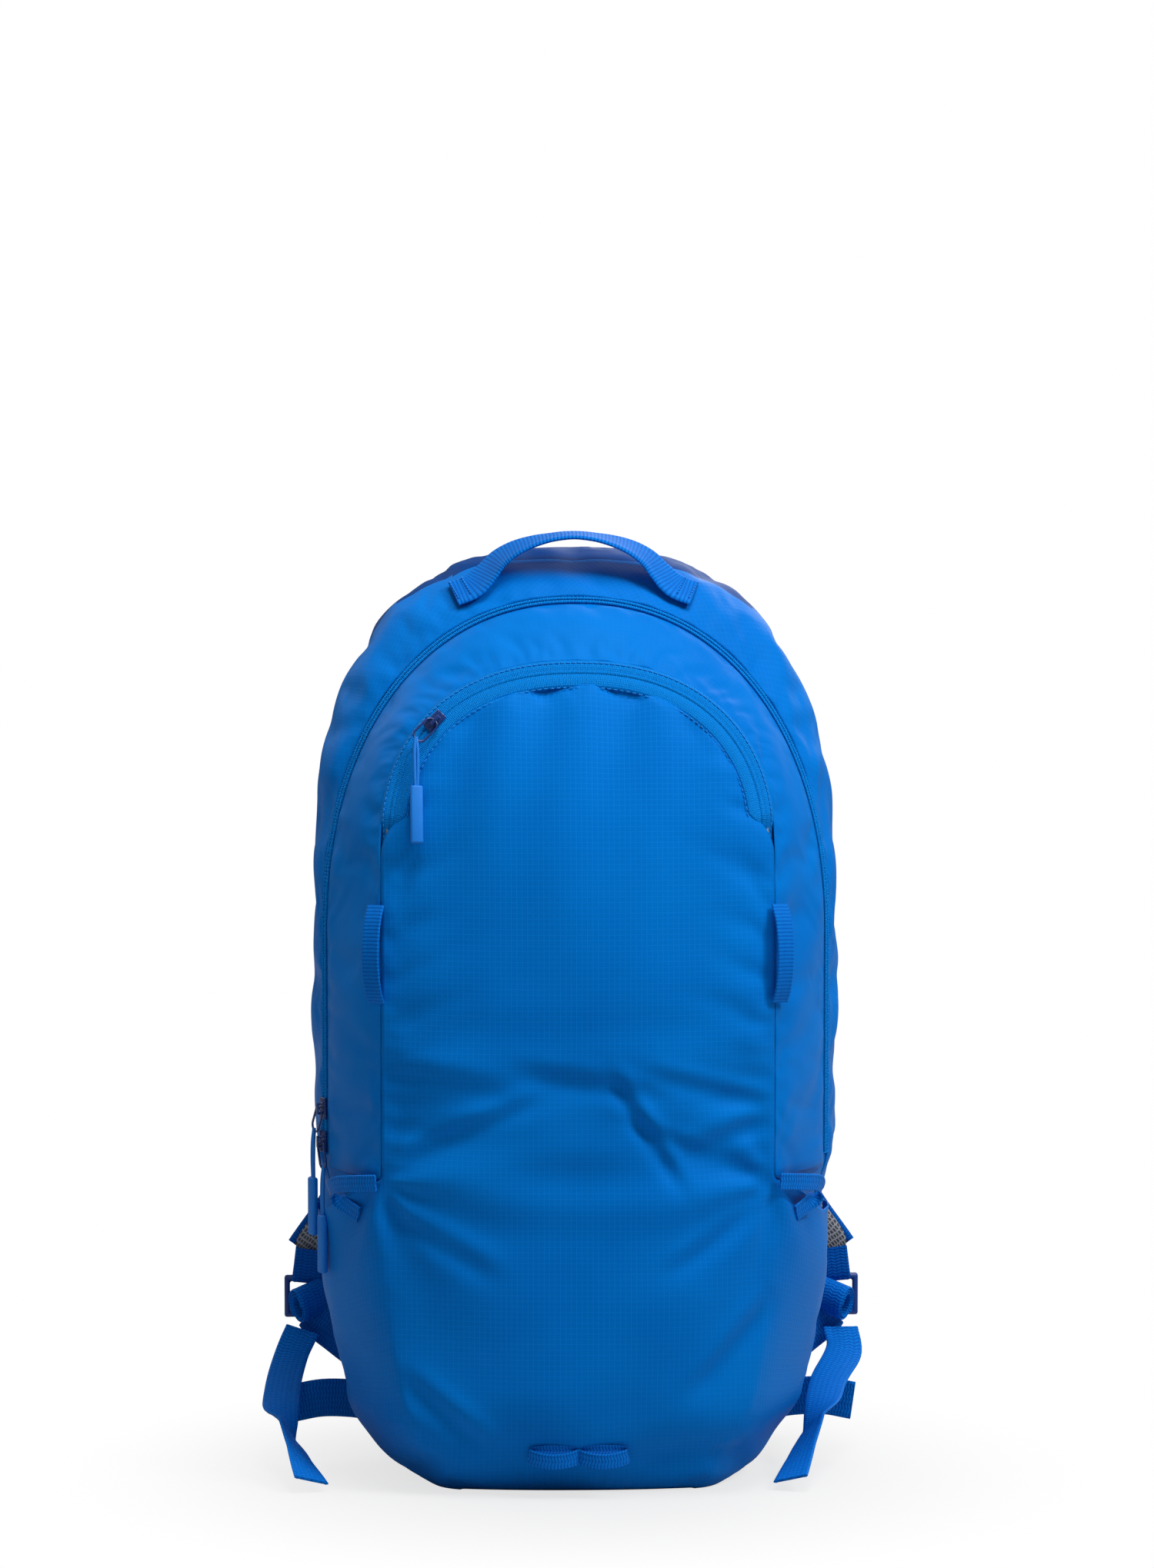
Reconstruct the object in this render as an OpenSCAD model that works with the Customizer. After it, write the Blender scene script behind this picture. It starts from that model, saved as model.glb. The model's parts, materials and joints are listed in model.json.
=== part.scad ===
// Small hiking daypack that stands on its base: front towards -Y, straps towards +Y, up is +Z.
// The origin is the centre of the flat base. All sizes are in millimetres.

/* [Bag body] */
// Greatest width across the sides
body_w = 264; // [215:1:325]
// Height of the back above the ground
body_h = 471; // [390:1:570]
// Depth from the lower front to the back panel
body_d = 141; // [115:1:172]
// Width of the front panel between its side seams
panel_w = 198; // [164:1:204]
// Height of the fold line where the opened front hinges down
fold_z = 166; // [150:1:200]
// Height below which the sides draw in towards the base
toe_h = 150; // [125:1:180]
// How far the front panel bulges beyond its side seams
crown = 16; // [12:1:20]

/* [Fabric and seams] */
// Thickness of the lined shell fabric
cloth_t = 1; // [0.6:0.1:1.5]
// Gap between cloth edges on pieces that move apart
seam_gap = 0.6; // [0.4:0.1:1]
// Depth of each side pocket away from the side panel
pocket_gap = 9; // [7:1:12]

/* [Zips] */
// Width of each half of a zip tape
tape_w = 10; // [8:0.5:12]
// Thickness of the zip tape with its coil
tape_t = 1; // [0.8:0.1:1.4]
// Width of a zip slider
slider_w = 6; // [5:0.5:7]
// Length of a zip slider
slider_l = 11; // [9:0.5:12]
// Width of the moulded tag on a zip pull
tag_w = 6.5; // [5:0.5:8]
// Length of the moulded tag on a zip pull
tag_l = 30; // [24:1:34]
// Length of the cord between a slider and its tag
pull_cord_l = 24; // [18:1:30]

/* [Webbing] */
// Width of the harness and handle webbing
web_w = 20; // [15:1:25]
// Thickness of the harness webbing
web_t = 1.6; // [1.2:0.1:2]
// Width of the narrow webbing of the loops
loop_w = 10; // [8:0.5:12]
// Height of the grab handle above its feet
handle_rise = 35; // [28:1:42]
// Distance between the feet of the grab handle
handle_span = 120; // [100:1:140]
// Length of each gear loop along its seam
gear_loop_l = 47; // [38:1:56]

/* [Harness] */
// Thickness of the padded shoulder straps
strap_t = 8; // [6:0.5:10]
// Width of the shoulder straps at the chest
strap_w = 56; // [46:1:62]
// Width of the shoulder straps at their lower end
strap_end_w = 30; // [26:1:34]
// Thickness of the back pads
pad_t = 7; // [5:0.5:8]
// Height of the sternum strap above the ground
sternum_z = 345; // [330:1:360]
// Width of the sternum webbing
sternum_w = 15; // [12:1:18]
// Width of the ladder locks
lock_w = 27; // [25:1:31]
// Height of the ladder locks
lock_h = 22; // [20:1:26]

/* [Inside] */
// Thickness of the plastic frame sheet
sheet_t = 1.5; // [1:0.1:2]
// Thickness of the foam behind the frame sheet
foam_t = 5; // [4:0.5:7]
// Depth of the reservoir sleeve
sleeve_d = 22; // [18:1:26]
// Height of the reservoir sleeve
sleeve_h = 290; // [240:1:310]

/* [Hidden] */

half_w = body_w / 2;
back_y = 65;
front_y = back_y - body_d;
zip_y = front_y + 63;
side_y = front_y + 91;
zip_in = 4;
back_in = 11;
step = 0.01;
join = 0.1;

// Seam lines from front to back: half width, top height, start of the arch, roundness of the arch
seams = [[panel_w / 2, body_h - 51, body_h - 143, 2.3], [half_w - zip_in, body_h - 22, body_h - 191, 2.2],
    [half_w, body_h - 7, body_h - 161, 2.6], [half_w - back_in, body_h, body_h - 171, 2.7]];

// Shape functions of the bag
function clamp01(v) = min(max(v, 0), 1);
function ramp(v) = clamp01(v) * clamp01(v) * (3 - 2 * clamp01(v));
function unit(v) = v / norm(v);
function toe(z) = pow(1 - pow(max(toe_h - z, 0) / (toe_h * 1.07), 2), 1 / 4);
function sag(z) = 48 * pow(max(z - 200, 0) / (body_h - 251), 3) + 26 * pow(max(60 - z, 0) / 60, 2);
function front_at(x, z) = front_y + sag(z) + crown * pow(abs(x) / (panel_w / 2), 2.2);
function arch_z(k, a) = k[2] + (k[1] - k[2]) * pow(max(cos(a), 0), 2 / k[3]);
function arch_x(k, a) = k[0] * pow(max(sin(a), 0), 2 / k[3]);
// The height on a seam: u = 0 is its top, 0.5 the foot of its arch, 0.75 the fold line and 1 the base
function seam_z(k, u) = u < 0.5 ? arch_z(k, 180 * u)
    : u < 0.75 ? k[2] + (fold_z - k[2]) * (u - 0.5) * 4 : fold_z * (1 - u) * 4;
function seam_x(k, t) = sign(t) * (abs(t) < 0.5 ? arch_x(k, 180 * abs(t)) : k[0] * toe(seam_z(k, abs(t))));
function seam_rise(k, z) = pow(max(z - k[2], 0) / (k[1] - k[2]), 2);
function seam_y(i, x, z) = i == 0 ? front_at(x, z) : i == 1 ? zip_y + 23 * seam_rise(seams[1], z)
    : i == 2 ? side_y + 21 * seam_rise(seams[2], z) : back_y;
function place(i, x, z) = [x, seam_y(i, x, z), z];
function seam_point(i, t) = place(i, seam_x(seams[i], t), seam_z(seams[i], abs(t)));
function draw_in(i, p) = let (z = 220 + (p[2] - 220) * 0.8) place(i, p[0] * 0.8, z);
function guide(i, t) = i < 0 ? draw_in(0, seam_point(0, t)) : i > 3 ? draw_in(3, seam_point(3, t))
    : seam_point(i, t);
function blend(a, b, c, d, u) = 0.5 * (2 * b + (c - a) * u + (2 * a - 5 * b + 4 * c - d) * u * u
    + (3 * b - a - 3 * c + d) * u * u * u);
// A point of the gusset: t runs along the seams from -1 to 1 and s from the front seam 0 to the back seam 3
function gusset(t, s) = let (i = min(floor(s), 2))
    blend(guide(i - 1, t), guide(i, t), guide(i + 1, t), guide(i + 2, t), s - i);
function gusset_out(t, s) = unit(cross(gusset(t + step, s) - gusset(t - step, s),
    gusset(t, s + step) - gusset(t, s - step)));
function on_gusset(t, s, out) = gusset(t, s) + out * gusset_out(t, s);
function front_out(x, z) = unit([(front_at(x + 1, z) - front_at(x - 1, z)) / 2, -1,
    (front_at(x, z + 1) - front_at(x, z - 1)) / 2]);
function on_front(x, z, out) = [x, front_at(x, z), z] + out * front_out(x, z);
// A seam line moved inwards across the front by a distance
function inner_seam(inset) = [seams[0][0] - inset, seams[0][1] - inset, seams[0][2], seams[0][3]];
function steps(a, b, n) = [for (i = [0:n]) a + (b - a) * i / n];

// Closed solid between two grids of points, the outer grid first
module shell(outer, inner) {
    rows = len(outer) - 1;
    cols = len(outer[0]) - 1;
    w = cols + 1;
    n = (rows + 1) * w;
    points = [for (grid = [outer, inner]) for (row = grid) for (p = row) p];
    top = [for (i = [0:rows - 1]) for (j = [0:cols - 1]) let (a = i * w + j)
        each [[a + w + 1, a + w, a], [a + 1, a + w + 1, a]]];
    under = [for (f = top) [f[2] + n, f[1] + n, f[0] + n]];
    loop = concat([for (j = [0:cols - 1]) j], [for (i = [0:rows - 1]) i * w + cols],
        [for (j = [0:cols - 1]) rows * w + cols - j], [for (i = [0:rows - 1]) (rows - i) * w]);
    m = len(loop);
    rim = [for (k = [0:m - 1]) let (a = loop[k], b = loop[(k + 1) % m]) each [[b, a, a + n], [b, a + n, b + n]]];
    polyhedron(points, concat(top, under, rim));
}

// Piece of the gusset between two stations along the seams and two across them
module gusset_patch(t0, t1, s0, s1, nt, ns, out = 0, thick = cloth_t) {
    shell([for (t = steps(t0, t1, nt)) [for (s = steps(s0, s1, ns)) on_gusset(t, s, out)]],
        [for (t = steps(t0, t1, nt)) [for (s = steps(s0, s1, ns)) on_gusset(t, s, out - thick)]]);
}

// Piece of the front that spans from side to side, between two stations down a seam line
module front_patch(line, u0, u1, rows, cols, out = 0, thick = cloth_t, edge = 0) {
    shell([for (u = steps(u0, u1, rows)) [for (v = steps(-1, 1, cols))
        on_front(v * (seam_x(line, u) - edge), seam_z(line, u), out)]],
        [for (u = steps(u0, u1, rows)) [for (v = steps(-1, 1, cols))
        on_front(v * (seam_x(line, u) - edge), seam_z(line, u), out - thick)]]);
}

// Band along the arch of the front between two insets from its seam
module front_band(inset0, inset1, t0, t1, n, out, thick) {
    a = inner_seam(inset0);
    b = inner_seam(inset1);
    shell([for (t = steps(t0, t1, n)) [for (k = [b, a]) on_front(seam_x(k, t), seam_z(k, abs(t)), out)]],
        [for (t = steps(t0, t1, n)) [for (k = [b, a]) on_front(seam_x(k, t), seam_z(k, abs(t)), out - thick)]]);
}

// Flat band swept along a path, with a width direction and a width at each point
module ribbon(path, across, widths, thick) {
    last = len(path) - 1;
    function along(i) = unit(path[min(i + 1, last)] - path[max(i - 1, 0)]);
    function side(i) = unit(across[i] - (across[i] * along(i)) * along(i));
    function edge(i, k) = path[i] + k * widths[i] / 2 * side(i);
    function face(i) = unit(cross(along(i), side(i)));
    shell([for (i = [0:last]) [for (k = [-1, 1]) edge(i, k) + thick / 2 * face(i)]],
        [for (i = [0:last]) [for (k = [-1, 1]) edge(i, k) - thick / 2 * face(i)]]);
}

module web(path, across, width = web_w, thick = web_t) {
    ribbon(path, [for (p = path) across], [for (p = path) width], thick);
}

module mirrored(side) {
    mirror([side < 0 ? 1 : 0, 0, 0]) children();
}

// Upright slab with rounded corners, facing along Y
module slab(w, z0, z1, y0, y1, r) {
    translate([0, y1, (z0 + z1) / 2]) rotate([90, 0, 0]) linear_extrude(y1 - y0)
        offset(r) square([w - 2 * r, z1 - z0 - 2 * r], center = true);
}

// ---- Bag shell ----
mouth_front = fold_z - 5;
mouth_drop = 24;
zip_cut = 0.9;
split_t = 0.3;
fold_t = 0.75;
edge_gap = 0.02;
tape_under = 0.4;
zip_gap = seam_gap / 76;

module lower_front() {
    top_u = fold_t + 0.003;
    color("royalblue") front_patch(seams[0], top_u, 1, 10, 14, edge = 1.2);
}

// Height of a side pocket's mouth at a station across the gusset
function mouth_z(s) = mouth_front - mouth_drop * ramp(s / 1.1);
function leg_u(z) = 1 - z / fold_z / 4;

module side_pocket(side) {
    s_list = steps(edge_gap, 2.3, 12);
    function row(s, k) = side > 0 ? leg_u(mouth_z(s) * (1 - k)) : -leg_u(mouth_z(s) * k);
    color("royalblue") shell([for (k = steps(0, 1, 7)) [for (s = s_list) on_gusset(row(s, k), s, 0)]],
        [for (k = steps(0, 1, 7)) [for (s = s_list) on_gusset(row(s, k), s, -cloth_t)]]);
}
module side_pocket_left() { side_pocket(-1); }
module side_pocket_right() { side_pocket(1); }

// The side panel stands inwards of the pocket and comes out to the shell above it
module side_panel(side) {
    function inset(z) = -cloth_t - join - (pocket_gap) * clamp01((fold_z - 2 - z) / 30);
    s_list = steps(0.12, 2.96, 12);
    z_list = side > 0 ? steps(fold_z - 1, 1.2, 8) : steps(1.2, fold_z - 1, 8);
    color("mediumblue") shell([for (z = z_list) [for (s = s_list) on_gusset(side * leg_u(z), s, inset(z))]],
        [for (z = z_list) [for (s = s_list) on_gusset(side * leg_u(z), s, inset(z) - cloth_t)]]);
}
module side_panel_left() { side_panel(-1); }
module side_panel_right() { side_panel(1); }

module base_panel() {
    rim = [for (s = steps(0, 2.9, 9)) gusset(0.999, s)];
    outline = concat([for (p = rim) [p[0] - 2, p[1]]], [for (i = [len(rim) - 1:-1:0]) [2 - rim[i][0], rim[i][1]]]);
    color("mediumblue") linear_extrude(1.2) polygon(outline);
}

module rear_gusset_left() {
    color("dodgerblue") gusset_patch(-fold_t + 0.003, -split_t - 0.002, 2 - zip_cut, 2.96, 14, 8);
}
module rear_gusset_right() {
    color("dodgerblue") gusset_patch(split_t + 0.002, fold_t - 0.003, 2 - zip_cut, 2.96, 14, 8);
}
module rear_gusset_top() {
    color("navy") gusset_patch(-split_t, split_t, 2 - zip_cut, 2.96, 20, 8);
}
module main_zip_rear() {
    color("blue") gusset_patch(-fold_t + 0.003, fold_t - 0.003, 1 + zip_gap, 1 + tape_w / 38, 44, 1,
        -cloth_t - tape_under, tape_t);
}

module back_panel() {
    rows = steps(0.02, 0.995, 26);
    line = [seams[3][0] - 2.5, seams[3][1] - 2.5, seams[3][2], seams[3][3]];
    function at(u, v, y) = [v * seam_x(line, u), y, seam_z(line, u)];
    color("slategray") shell([for (u = rows) [for (v = [1, 0, -1]) at(u, v, back_y + 0.4)]],
        [for (u = rows) [for (v = [1, 0, -1]) at(u, v, back_y - cloth_t)]]);
}
foam_y = back_y - cloth_t - join;
sheet_y = foam_y - foam_t - join;
module back_foam() { color("dimgray") slab(body_w - 90, 30, body_h - 75, foam_y - foam_t, foam_y, 40); }
module frame_sheet() { color("black") slab(body_w - 104, 37, body_h - 82, sheet_y - sheet_t, sheet_y, 33); }

module reservoir_sleeve() {
    y1 = sheet_y - sheet_t - join;
    w = body_w - 110;
    color("lightgray") translate([-w / 2, y1 - sleeve_d, 24]) difference() {
        cube([w, sleeve_d, sleeve_h]);
        translate([cloth_t, cloth_t, cloth_t]) cube([w - 2 * cloth_t, sleeve_d - 2 * cloth_t, sleeve_h]);
    }
}

module hanger_loop() {
    y1 = sheet_y - sheet_t - join;
    color("black") translate([0, y1 - 13, body_h - 100]) difference() {
        translate([-loop_w / 2, 0, -40]) cube([loop_w, 13, 46]);
        translate([-loop_w, web_t, -40 + web_t]) cube([loop_w * 2, 13 - 2 * web_t, 46 - 2 * web_t]);
    }
}

// ---- Back pads and yoke ----
pad_y = back_y + 0.4 + join;
module pad(x, w, z0, z1, r) {
    color("darkgray") translate([x, 0, 0]) slab(w, z0, z1, pad_y, pad_y + pad_t, r);
}
module back_pad_left() { pad(-52, 76, 118, body_h - 66, 26); }
module back_pad_right() { pad(52, 76, 118, body_h - 66, 26); }
module lumbar_pad() { pad(0, 176, 34, 110, 30); }
module strap_yoke() {
    color("navy") slab(110, body_h - 25, body_h - 10, pad_y, pad_y + 3, 6);
}

// ---- Shoulder straps and harness ----
strap_top = [40, pad_y + 5.2, body_h - 27];
lock_top = [137, back_y + 9, 90];
strap_path = [strap_top, [43, pad_y + 12, body_h - 50], [47, pad_y + 20, body_h - 85], [50, pad_y + 25, sternum_z + 22],
    [50, pad_y + 25, sternum_z - 22], [56, pad_y + 24, 280], [72, pad_y + 22, 230], [96, pad_y + 18, 175],
    [119, pad_y + 13, 130], [lock_top[0] - 1, lock_top[1], lock_top[2] + 9]];
strap_widths = [strap_w - 6, strap_w - 2, strap_w, strap_w, strap_w, strap_w, strap_w - 4, strap_w - 12,
    strap_end_w + 4, strap_end_w];
function strap_side(i) = let (last = len(strap_path) - 1,
    d = strap_path[min(i + 1, last)] - strap_path[max(i - 1, 0)]) unit([-d[2], 0, d[0]]);

module strap(side) {
    n = len(strap_path) - 1;
    color("slategray") mirrored(side)
        ribbon(strap_path, [for (i = [0:n]) strap_side(i)], strap_widths, strap_t);
}
module strap_left() { strap(-1); }
module strap_right() { strap(1); }

rail_y = pad_y + 25 + strap_t / 2 + join;
rail_l = 40;
module sternum_rails(side) {
    color("navy") mirrored(side) for (x = [44, 56]) translate([x, rail_y, sternum_z - rail_l / 2]) cube([3, 4, rail_l]);
}
module sternum_rails_left() { sternum_rails(-1); }
module sternum_rails_right() { sternum_rails(1); }

slider_y = rail_y + 0.3;
slot_fit = 0.4;
// Plate that runs between the two rails and holds the sternum webbing in a slot
module sternum_slider(side) {
    color("royalblue") mirrored(side) translate([47 + slot_fit, slider_y, sternum_z - 10]) difference() {
        cube([9 - 2 * slot_fit, 9, 20]);
        translate([-1, 4.5, 10 - sternum_w / 2 - slot_fit]) cube([12, web_t + 2 * slot_fit, sternum_w + 2 * slot_fit]);
    }
}
module sternum_slider_left() { sternum_slider(-1); }
module sternum_slider_right() { sternum_slider(1); }

web_y = slider_y + 4.5 + slot_fit;
buckle_w = 22;
buckle_l = 26;
module sternum_web_left() {
    color("royalblue") translate([-64, web_y, sternum_z - sternum_w / 2]) cube([64 - buckle_l / 2 + 2, web_t, sternum_w]);
}
module sternum_web_right() {
    color("royalblue") translate([buckle_l / 2 + 6, web_y, sternum_z - sternum_w / 2])
        cube([64 - buckle_l / 2 - 6, web_t, sternum_w]);
}
buckle_y = web_y + web_t / 2;
module buckle_female() {
    color("navy") translate([-buckle_l / 2, buckle_y - 4, sternum_z - buckle_w / 2]) difference() {
        cube([buckle_l, 8, buckle_w]);
        translate([7, 1.5, 2]) cube([buckle_l, 5, buckle_w - 4]);
        translate([-1, 4 - web_t / 2, buckle_w / 2 - sternum_w / 2]) cube([6, web_t, sternum_w]);
    }
}
module buckle_male() {
    color("navy") translate([0, buckle_y, sternum_z]) {
        translate([-4, -2, -8.6]) cube([buckle_l / 2 + 4.4, 4, 4]);
        translate([-4, -2, 4.6]) cube([buckle_l / 2 + 4.4, 4, 4]);
        translate([-3, -1.5, -1.5]) cube([buckle_l / 2 + 3.4, 3, 3]);
        translate([buckle_l / 2 + 0.4, -3.5, -buckle_w / 2]) cube([5.6 - join, 7, buckle_w]);
    }
}

// Ladder lock: a plate with two slots that tilts about its upper bar
module ladder_lock(side) {
    color("mediumblue") mirrored(side) translate([lock_top[0], lock_top[1], lock_top[2]]) difference() {
        translate([-lock_w / 2, -2.5, -lock_h]) cube([lock_w, 5, lock_h]);
        for (z = [-lock_h / 2 + 1.5, -lock_h + 3]) translate([-web_w / 2 - 0.6, -4, z])
            cube([web_w + 1.2, 8, lock_h / 2 - 4.5]);
    }
}
module ladder_lock_left() { ladder_lock(-1); }
module ladder_lock_right() { ladder_lock(1); }

// Webbing from the lower side seam up to just in front of the ladder lock
module adjuster_web(side) {
    p = lock_top + [0, -4.2, -lock_h + 3];
    path = [[107, back_y - 9, 50], [115, back_y - 6, 54], [124, back_y - 2, 61], [p[0] - 3, p[1] - 2.5, p[2] - 3], p];
    color("mediumblue") mirrored(side) web(path, [-0.3, 0, 1]);
}
module adjuster_web_left() { adjuster_web(-1); }
module adjuster_web_right() { adjuster_web(1); }

// Free end of the webbing: out of the lock, forward and down to the ground
module tail(side, path) {
    color("blue") mirrored(side) ribbon(path, [for (i = [0:len(path) - 1]) [1, 0.35, 0]],
        [for (p = path) web_w - 1], web_t);
}
tail_start = lock_top + [4, -10.5, -lock_h - 5];
module tail_left() {
    tail(-1, [tail_start, tail_start + [6, -7, -13], [151, 36, 37], [151, 10, 27], [143, -20, 17], [135, -52, 5.5]]);
}
module tail_right() {
    tail(1, [tail_start, tail_start + [1, -9, -11], [133, 34, 41], [127, 8, 31], [117, -22, 18], [108, -54, 5.5]]);
}

// Ends of the removable belt: webbing out of the lower back corners
module belt_webbing() {
    for (side = [-1, 1]) color("mediumblue") mirrored(side)
        web([[104, 51, 27], [116, 50, 29], [131, 46, 30], [146, 42, 28]], [0, 0, 1]);
}

// ---- Loops ----
// Loop of narrow webbing that stands out from the shell between two ends
module pocket_loop(side) {
    s_ends = [0.05, 0.3, 0.55, 0.82];
    rise = [2, 8, 8.5, 2];
    color("royalblue") mirrored(side) web([for (i = [0:3])
        on_gusset(leg_u(fold_z - 8 - 5 * s_ends[i]), s_ends[i], rise[i])], [0, 0, 1], loop_w);
}
module pocket_loop_left() { pocket_loop(-1); }
module pocket_loop_right() { pocket_loop(1); }

light_w = 50;
module light_loops() {
    path = [for (i = [0:12]) let (x = -light_w / 2 + light_w * i / 12, z = 20)
        [x, front_at(x, z) - 1.3 - 5 * pow(abs(sin(180 * i / 6)), 0.6), z]];
    color("blue") web(path, [0, -0.57, 1], 8, 1.2);
}

gear_loop_z = 252;
module gear_loop(side) {
    path = [for (i = [0:6]) let (z = gear_loop_z + gear_loop_l * i / 6, rise = 2 + 7 * pow(sin(30 * i), 0.7))
        place(0, panel_w / 2, z) + rise * unit([1, -0.9, 0])];
    color("royalblue") mirrored(side) web(path, [1, 0.9, 0], loop_w, 1.4);
}
module gear_loop_left() { gear_loop(-1); }
module gear_loop_right() { gear_loop(1); }

// ---- Grab handle ----
handle_y = side_y + 12;
handle_z = body_h - 13;
// Sewn ends of the handle, flat against the top of the shell
module handle_feet() {
    foot_t = handle_span * 0.00108;
    foot_s = 1.72;
    lift = web_t / 2 + 1.2;
    path = [for (t = [foot_t + 0.025, foot_t + 0.0125, foot_t]) on_gusset(t, foot_s, lift)];
    across = gusset(foot_t, foot_s + 0.1) - gusset(foot_t, foot_s - 0.1);
    for (side = [-1, 1]) color("royalblue") mirrored(side) web(path, across, web_w, web_t);
}
module grab_handle() {
    n = 14;
    path = [for (i = [0:n]) let (a = 180 * i / n)
        [-handle_span / 2 * cos(a), handle_y, handle_z + 2.6 + (handle_rise - 11) * pow(sin(a), 0.8)]];
    color("royalblue") web(path, [0, 1, 0], web_w - 2, 2.4);
}

// ---- Opening front ----
module front_panel() {
    color("royalblue") front_patch(seams[0], 0.52, fold_t - 0.002, 14, 14, edge = 1.2);
    chord = lip_u + 0.004;
    color("royalblue") front_patch(inner_seam(tape_w), chord, 0.518, 3, 14);
}
module front_gusset_left() {
    color("dodgerblue") gusset_patch(-fold_t + 0.002, -split_t - 0.002, edge_gap, zip_cut, 14, 5);
}
module front_gusset_right() {
    color("dodgerblue") gusset_patch(split_t + 0.002, fold_t - 0.002, edge_gap, zip_cut, 14, 5);
}
module front_gusset_top() {
    color("royalblue") gusset_patch(-split_t, split_t, edge_gap, zip_cut, 20, 5);
}
module main_zip_front() {
    color("blue") gusset_patch(-fold_t + 0.002, fold_t - 0.002, 1 - tape_w / 50, 1 - zip_gap, 44, 1,
        -cloth_t - tape_under, tape_t);
}
lip_u = 0.49;
zip_inset = tape_w / 2;
module front_zip_outer() {
    color("blue") front_band(1.4, zip_inset - seam_gap / 2, -0.512, 0.512, 40, -0.2, tape_t);
}
module front_zip_lip() {
    color("blue") front_band(zip_inset + seam_gap / 2, tape_w - 0.2, -lip_u, lip_u, 36, -0.2, tape_t);
}
module pocket_lip() {
    color("royalblue") front_patch(inner_seam(tape_w), 0.03, lip_u, 12, 14);
}

// Flat inner wall of the front pocket, joined to the side seams
module pocket_back_wall() {
    line = inner_seam(2.6);
    function at(u, v, d) = let (x = seam_x(line, u), z = seam_z(line, u)) [v * x, front_at(x, z) + 1.6 + d, z];
    rows = steps(0.04, fold_t - 0.004, 22);
    color("lightgray") shell([for (u = rows) [for (v = [-1, 0, 1]) at(u, v, 0)]],
        [for (u = rows) [for (v = [-1, 0, 1]) at(u, v, cloth_t)]]);
}
key_z = 300;
module key_tape() {
    color("gray") web([[-45, front_at(99, key_z) - 0.2, key_z], [-45, front_at(99, key_z + 32) - 0.2, key_z + 32]],
        [1, 0, 0], loop_w, 1);
}
module key_hook() {
    color("navy") translate([-45, front_at(99, key_z - 34) - 1, key_z - 18]) rotate([90, 0, 0]) difference() {
        linear_extrude(2.4) offset(3) square([6, 26], center = true);
        translate([0, 0, -1]) linear_extrude(5) offset(1.5) square([3, 18], center = true);
    }
}

// ---- Sliders and pulls ----
bridge_gap = 2.2;
bar = 1.2;
link_w = 8;
link_l = 15;
// Slider with its bridge: the face is towards -Y, the teeth run along Z
module slider_body() {
    translate([-slider_w / 2, -1.6, -slider_l / 2]) cube([slider_w, 1.6, slider_l]);
    translate([-0.9, -2.45 - bridge_gap, -3]) difference() {
        cube([1.8, bridge_gap + 0.9, 6]);
        translate([-1, 0.85, 1.1]) cube([5, bridge_gap, 3.8]);
    }
}
module stadium(w, l) {
    square([w, l - w], center = true);
    for (end = [-1, 1]) translate([0, end * (l - w) / 2]) circle(w / 2, $fn = 32);
}
// Pull about its pivot in the bridge: a link turned by roll, then a cord and a moulded tag that hang down
module pull(roll) {
    reach = link_l - bar;
    end = [-sin(roll) * reach, -cos(roll) * reach];
    rotate([0, roll, 0]) translate([0, bar / 2, -reach / 2]) rotate([90, 0, 0]) linear_extrude(bar)
        difference() { stadium(link_w, link_l); stadium(link_w - 2 * bar, link_l - 2 * bar); }
    translate([end[0] - 1, -0.9 - bar / 2, end[1] - pull_cord_l]) cube([2, 0.85, pull_cord_l + 1]);
    translate([end[0], bar / 2 + 0.2 - bar, end[1] - pull_cord_l - tag_l / 2 - join]) rotate([90, 0, 0])
        linear_extrude(3.4) offset(1.2) square([tag_w - 2.4, tag_l - 2.4], center = true);
}
pivot_y = -1.6 - bridge_gap / 2;

// The two sliders of the main zip, on its left leg
main_x = -seam_x(seams[1], 0.7);
slider_fit = 1;
main_turn = -62;
lower_z = fold_z + 8;
upper_z = lower_z + slider_l + 6;
lower_roll = -16;
upper_roll = 28.8;
module on_main(z) {
    translate([main_x, zip_y, z]) rotate([0, 0, main_turn]) translate([0, cloth_t - slider_fit, 0]) children();
}
module lower_slider() { color("navy") on_main(lower_z) slider_body(); }
module upper_slider() { color("navy") on_main(upper_z) slider_body(); }
module lower_pull() { color("blue") on_main(lower_z) translate([0, pivot_y, 0]) pull(lower_roll); }
module upper_pull() { color("dodgerblue") on_main(upper_z) translate([0, pivot_y, 0]) pull(upper_roll); }

// The slider of the front zip, on the left of the arch
front_u = 0.26;
front_line = inner_seam(zip_inset);
front_lift = 1.3;
front_spot = on_front(-seam_x(front_line, front_u), seam_z(front_line, front_u), front_lift);
arch_lean = 12.6;
slider_roll = 44;
front_flip = 8;
module on_front_zip() { translate(front_spot) rotate([-arch_lean, 0, 0]) children(); }
module front_slider() { color("navy") on_front_zip() rotate([0, slider_roll, 0]) slider_body(); }
// The front pull rests a little turned about its own bar, so that it lies on the cloth
module front_pull() {
    color("blue") on_front_zip() translate([0, pivot_y, 0])
        rotate(a = -front_flip, v = [cos(slider_roll), 0, -sin(slider_roll)]) pull(slider_roll);
}

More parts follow.
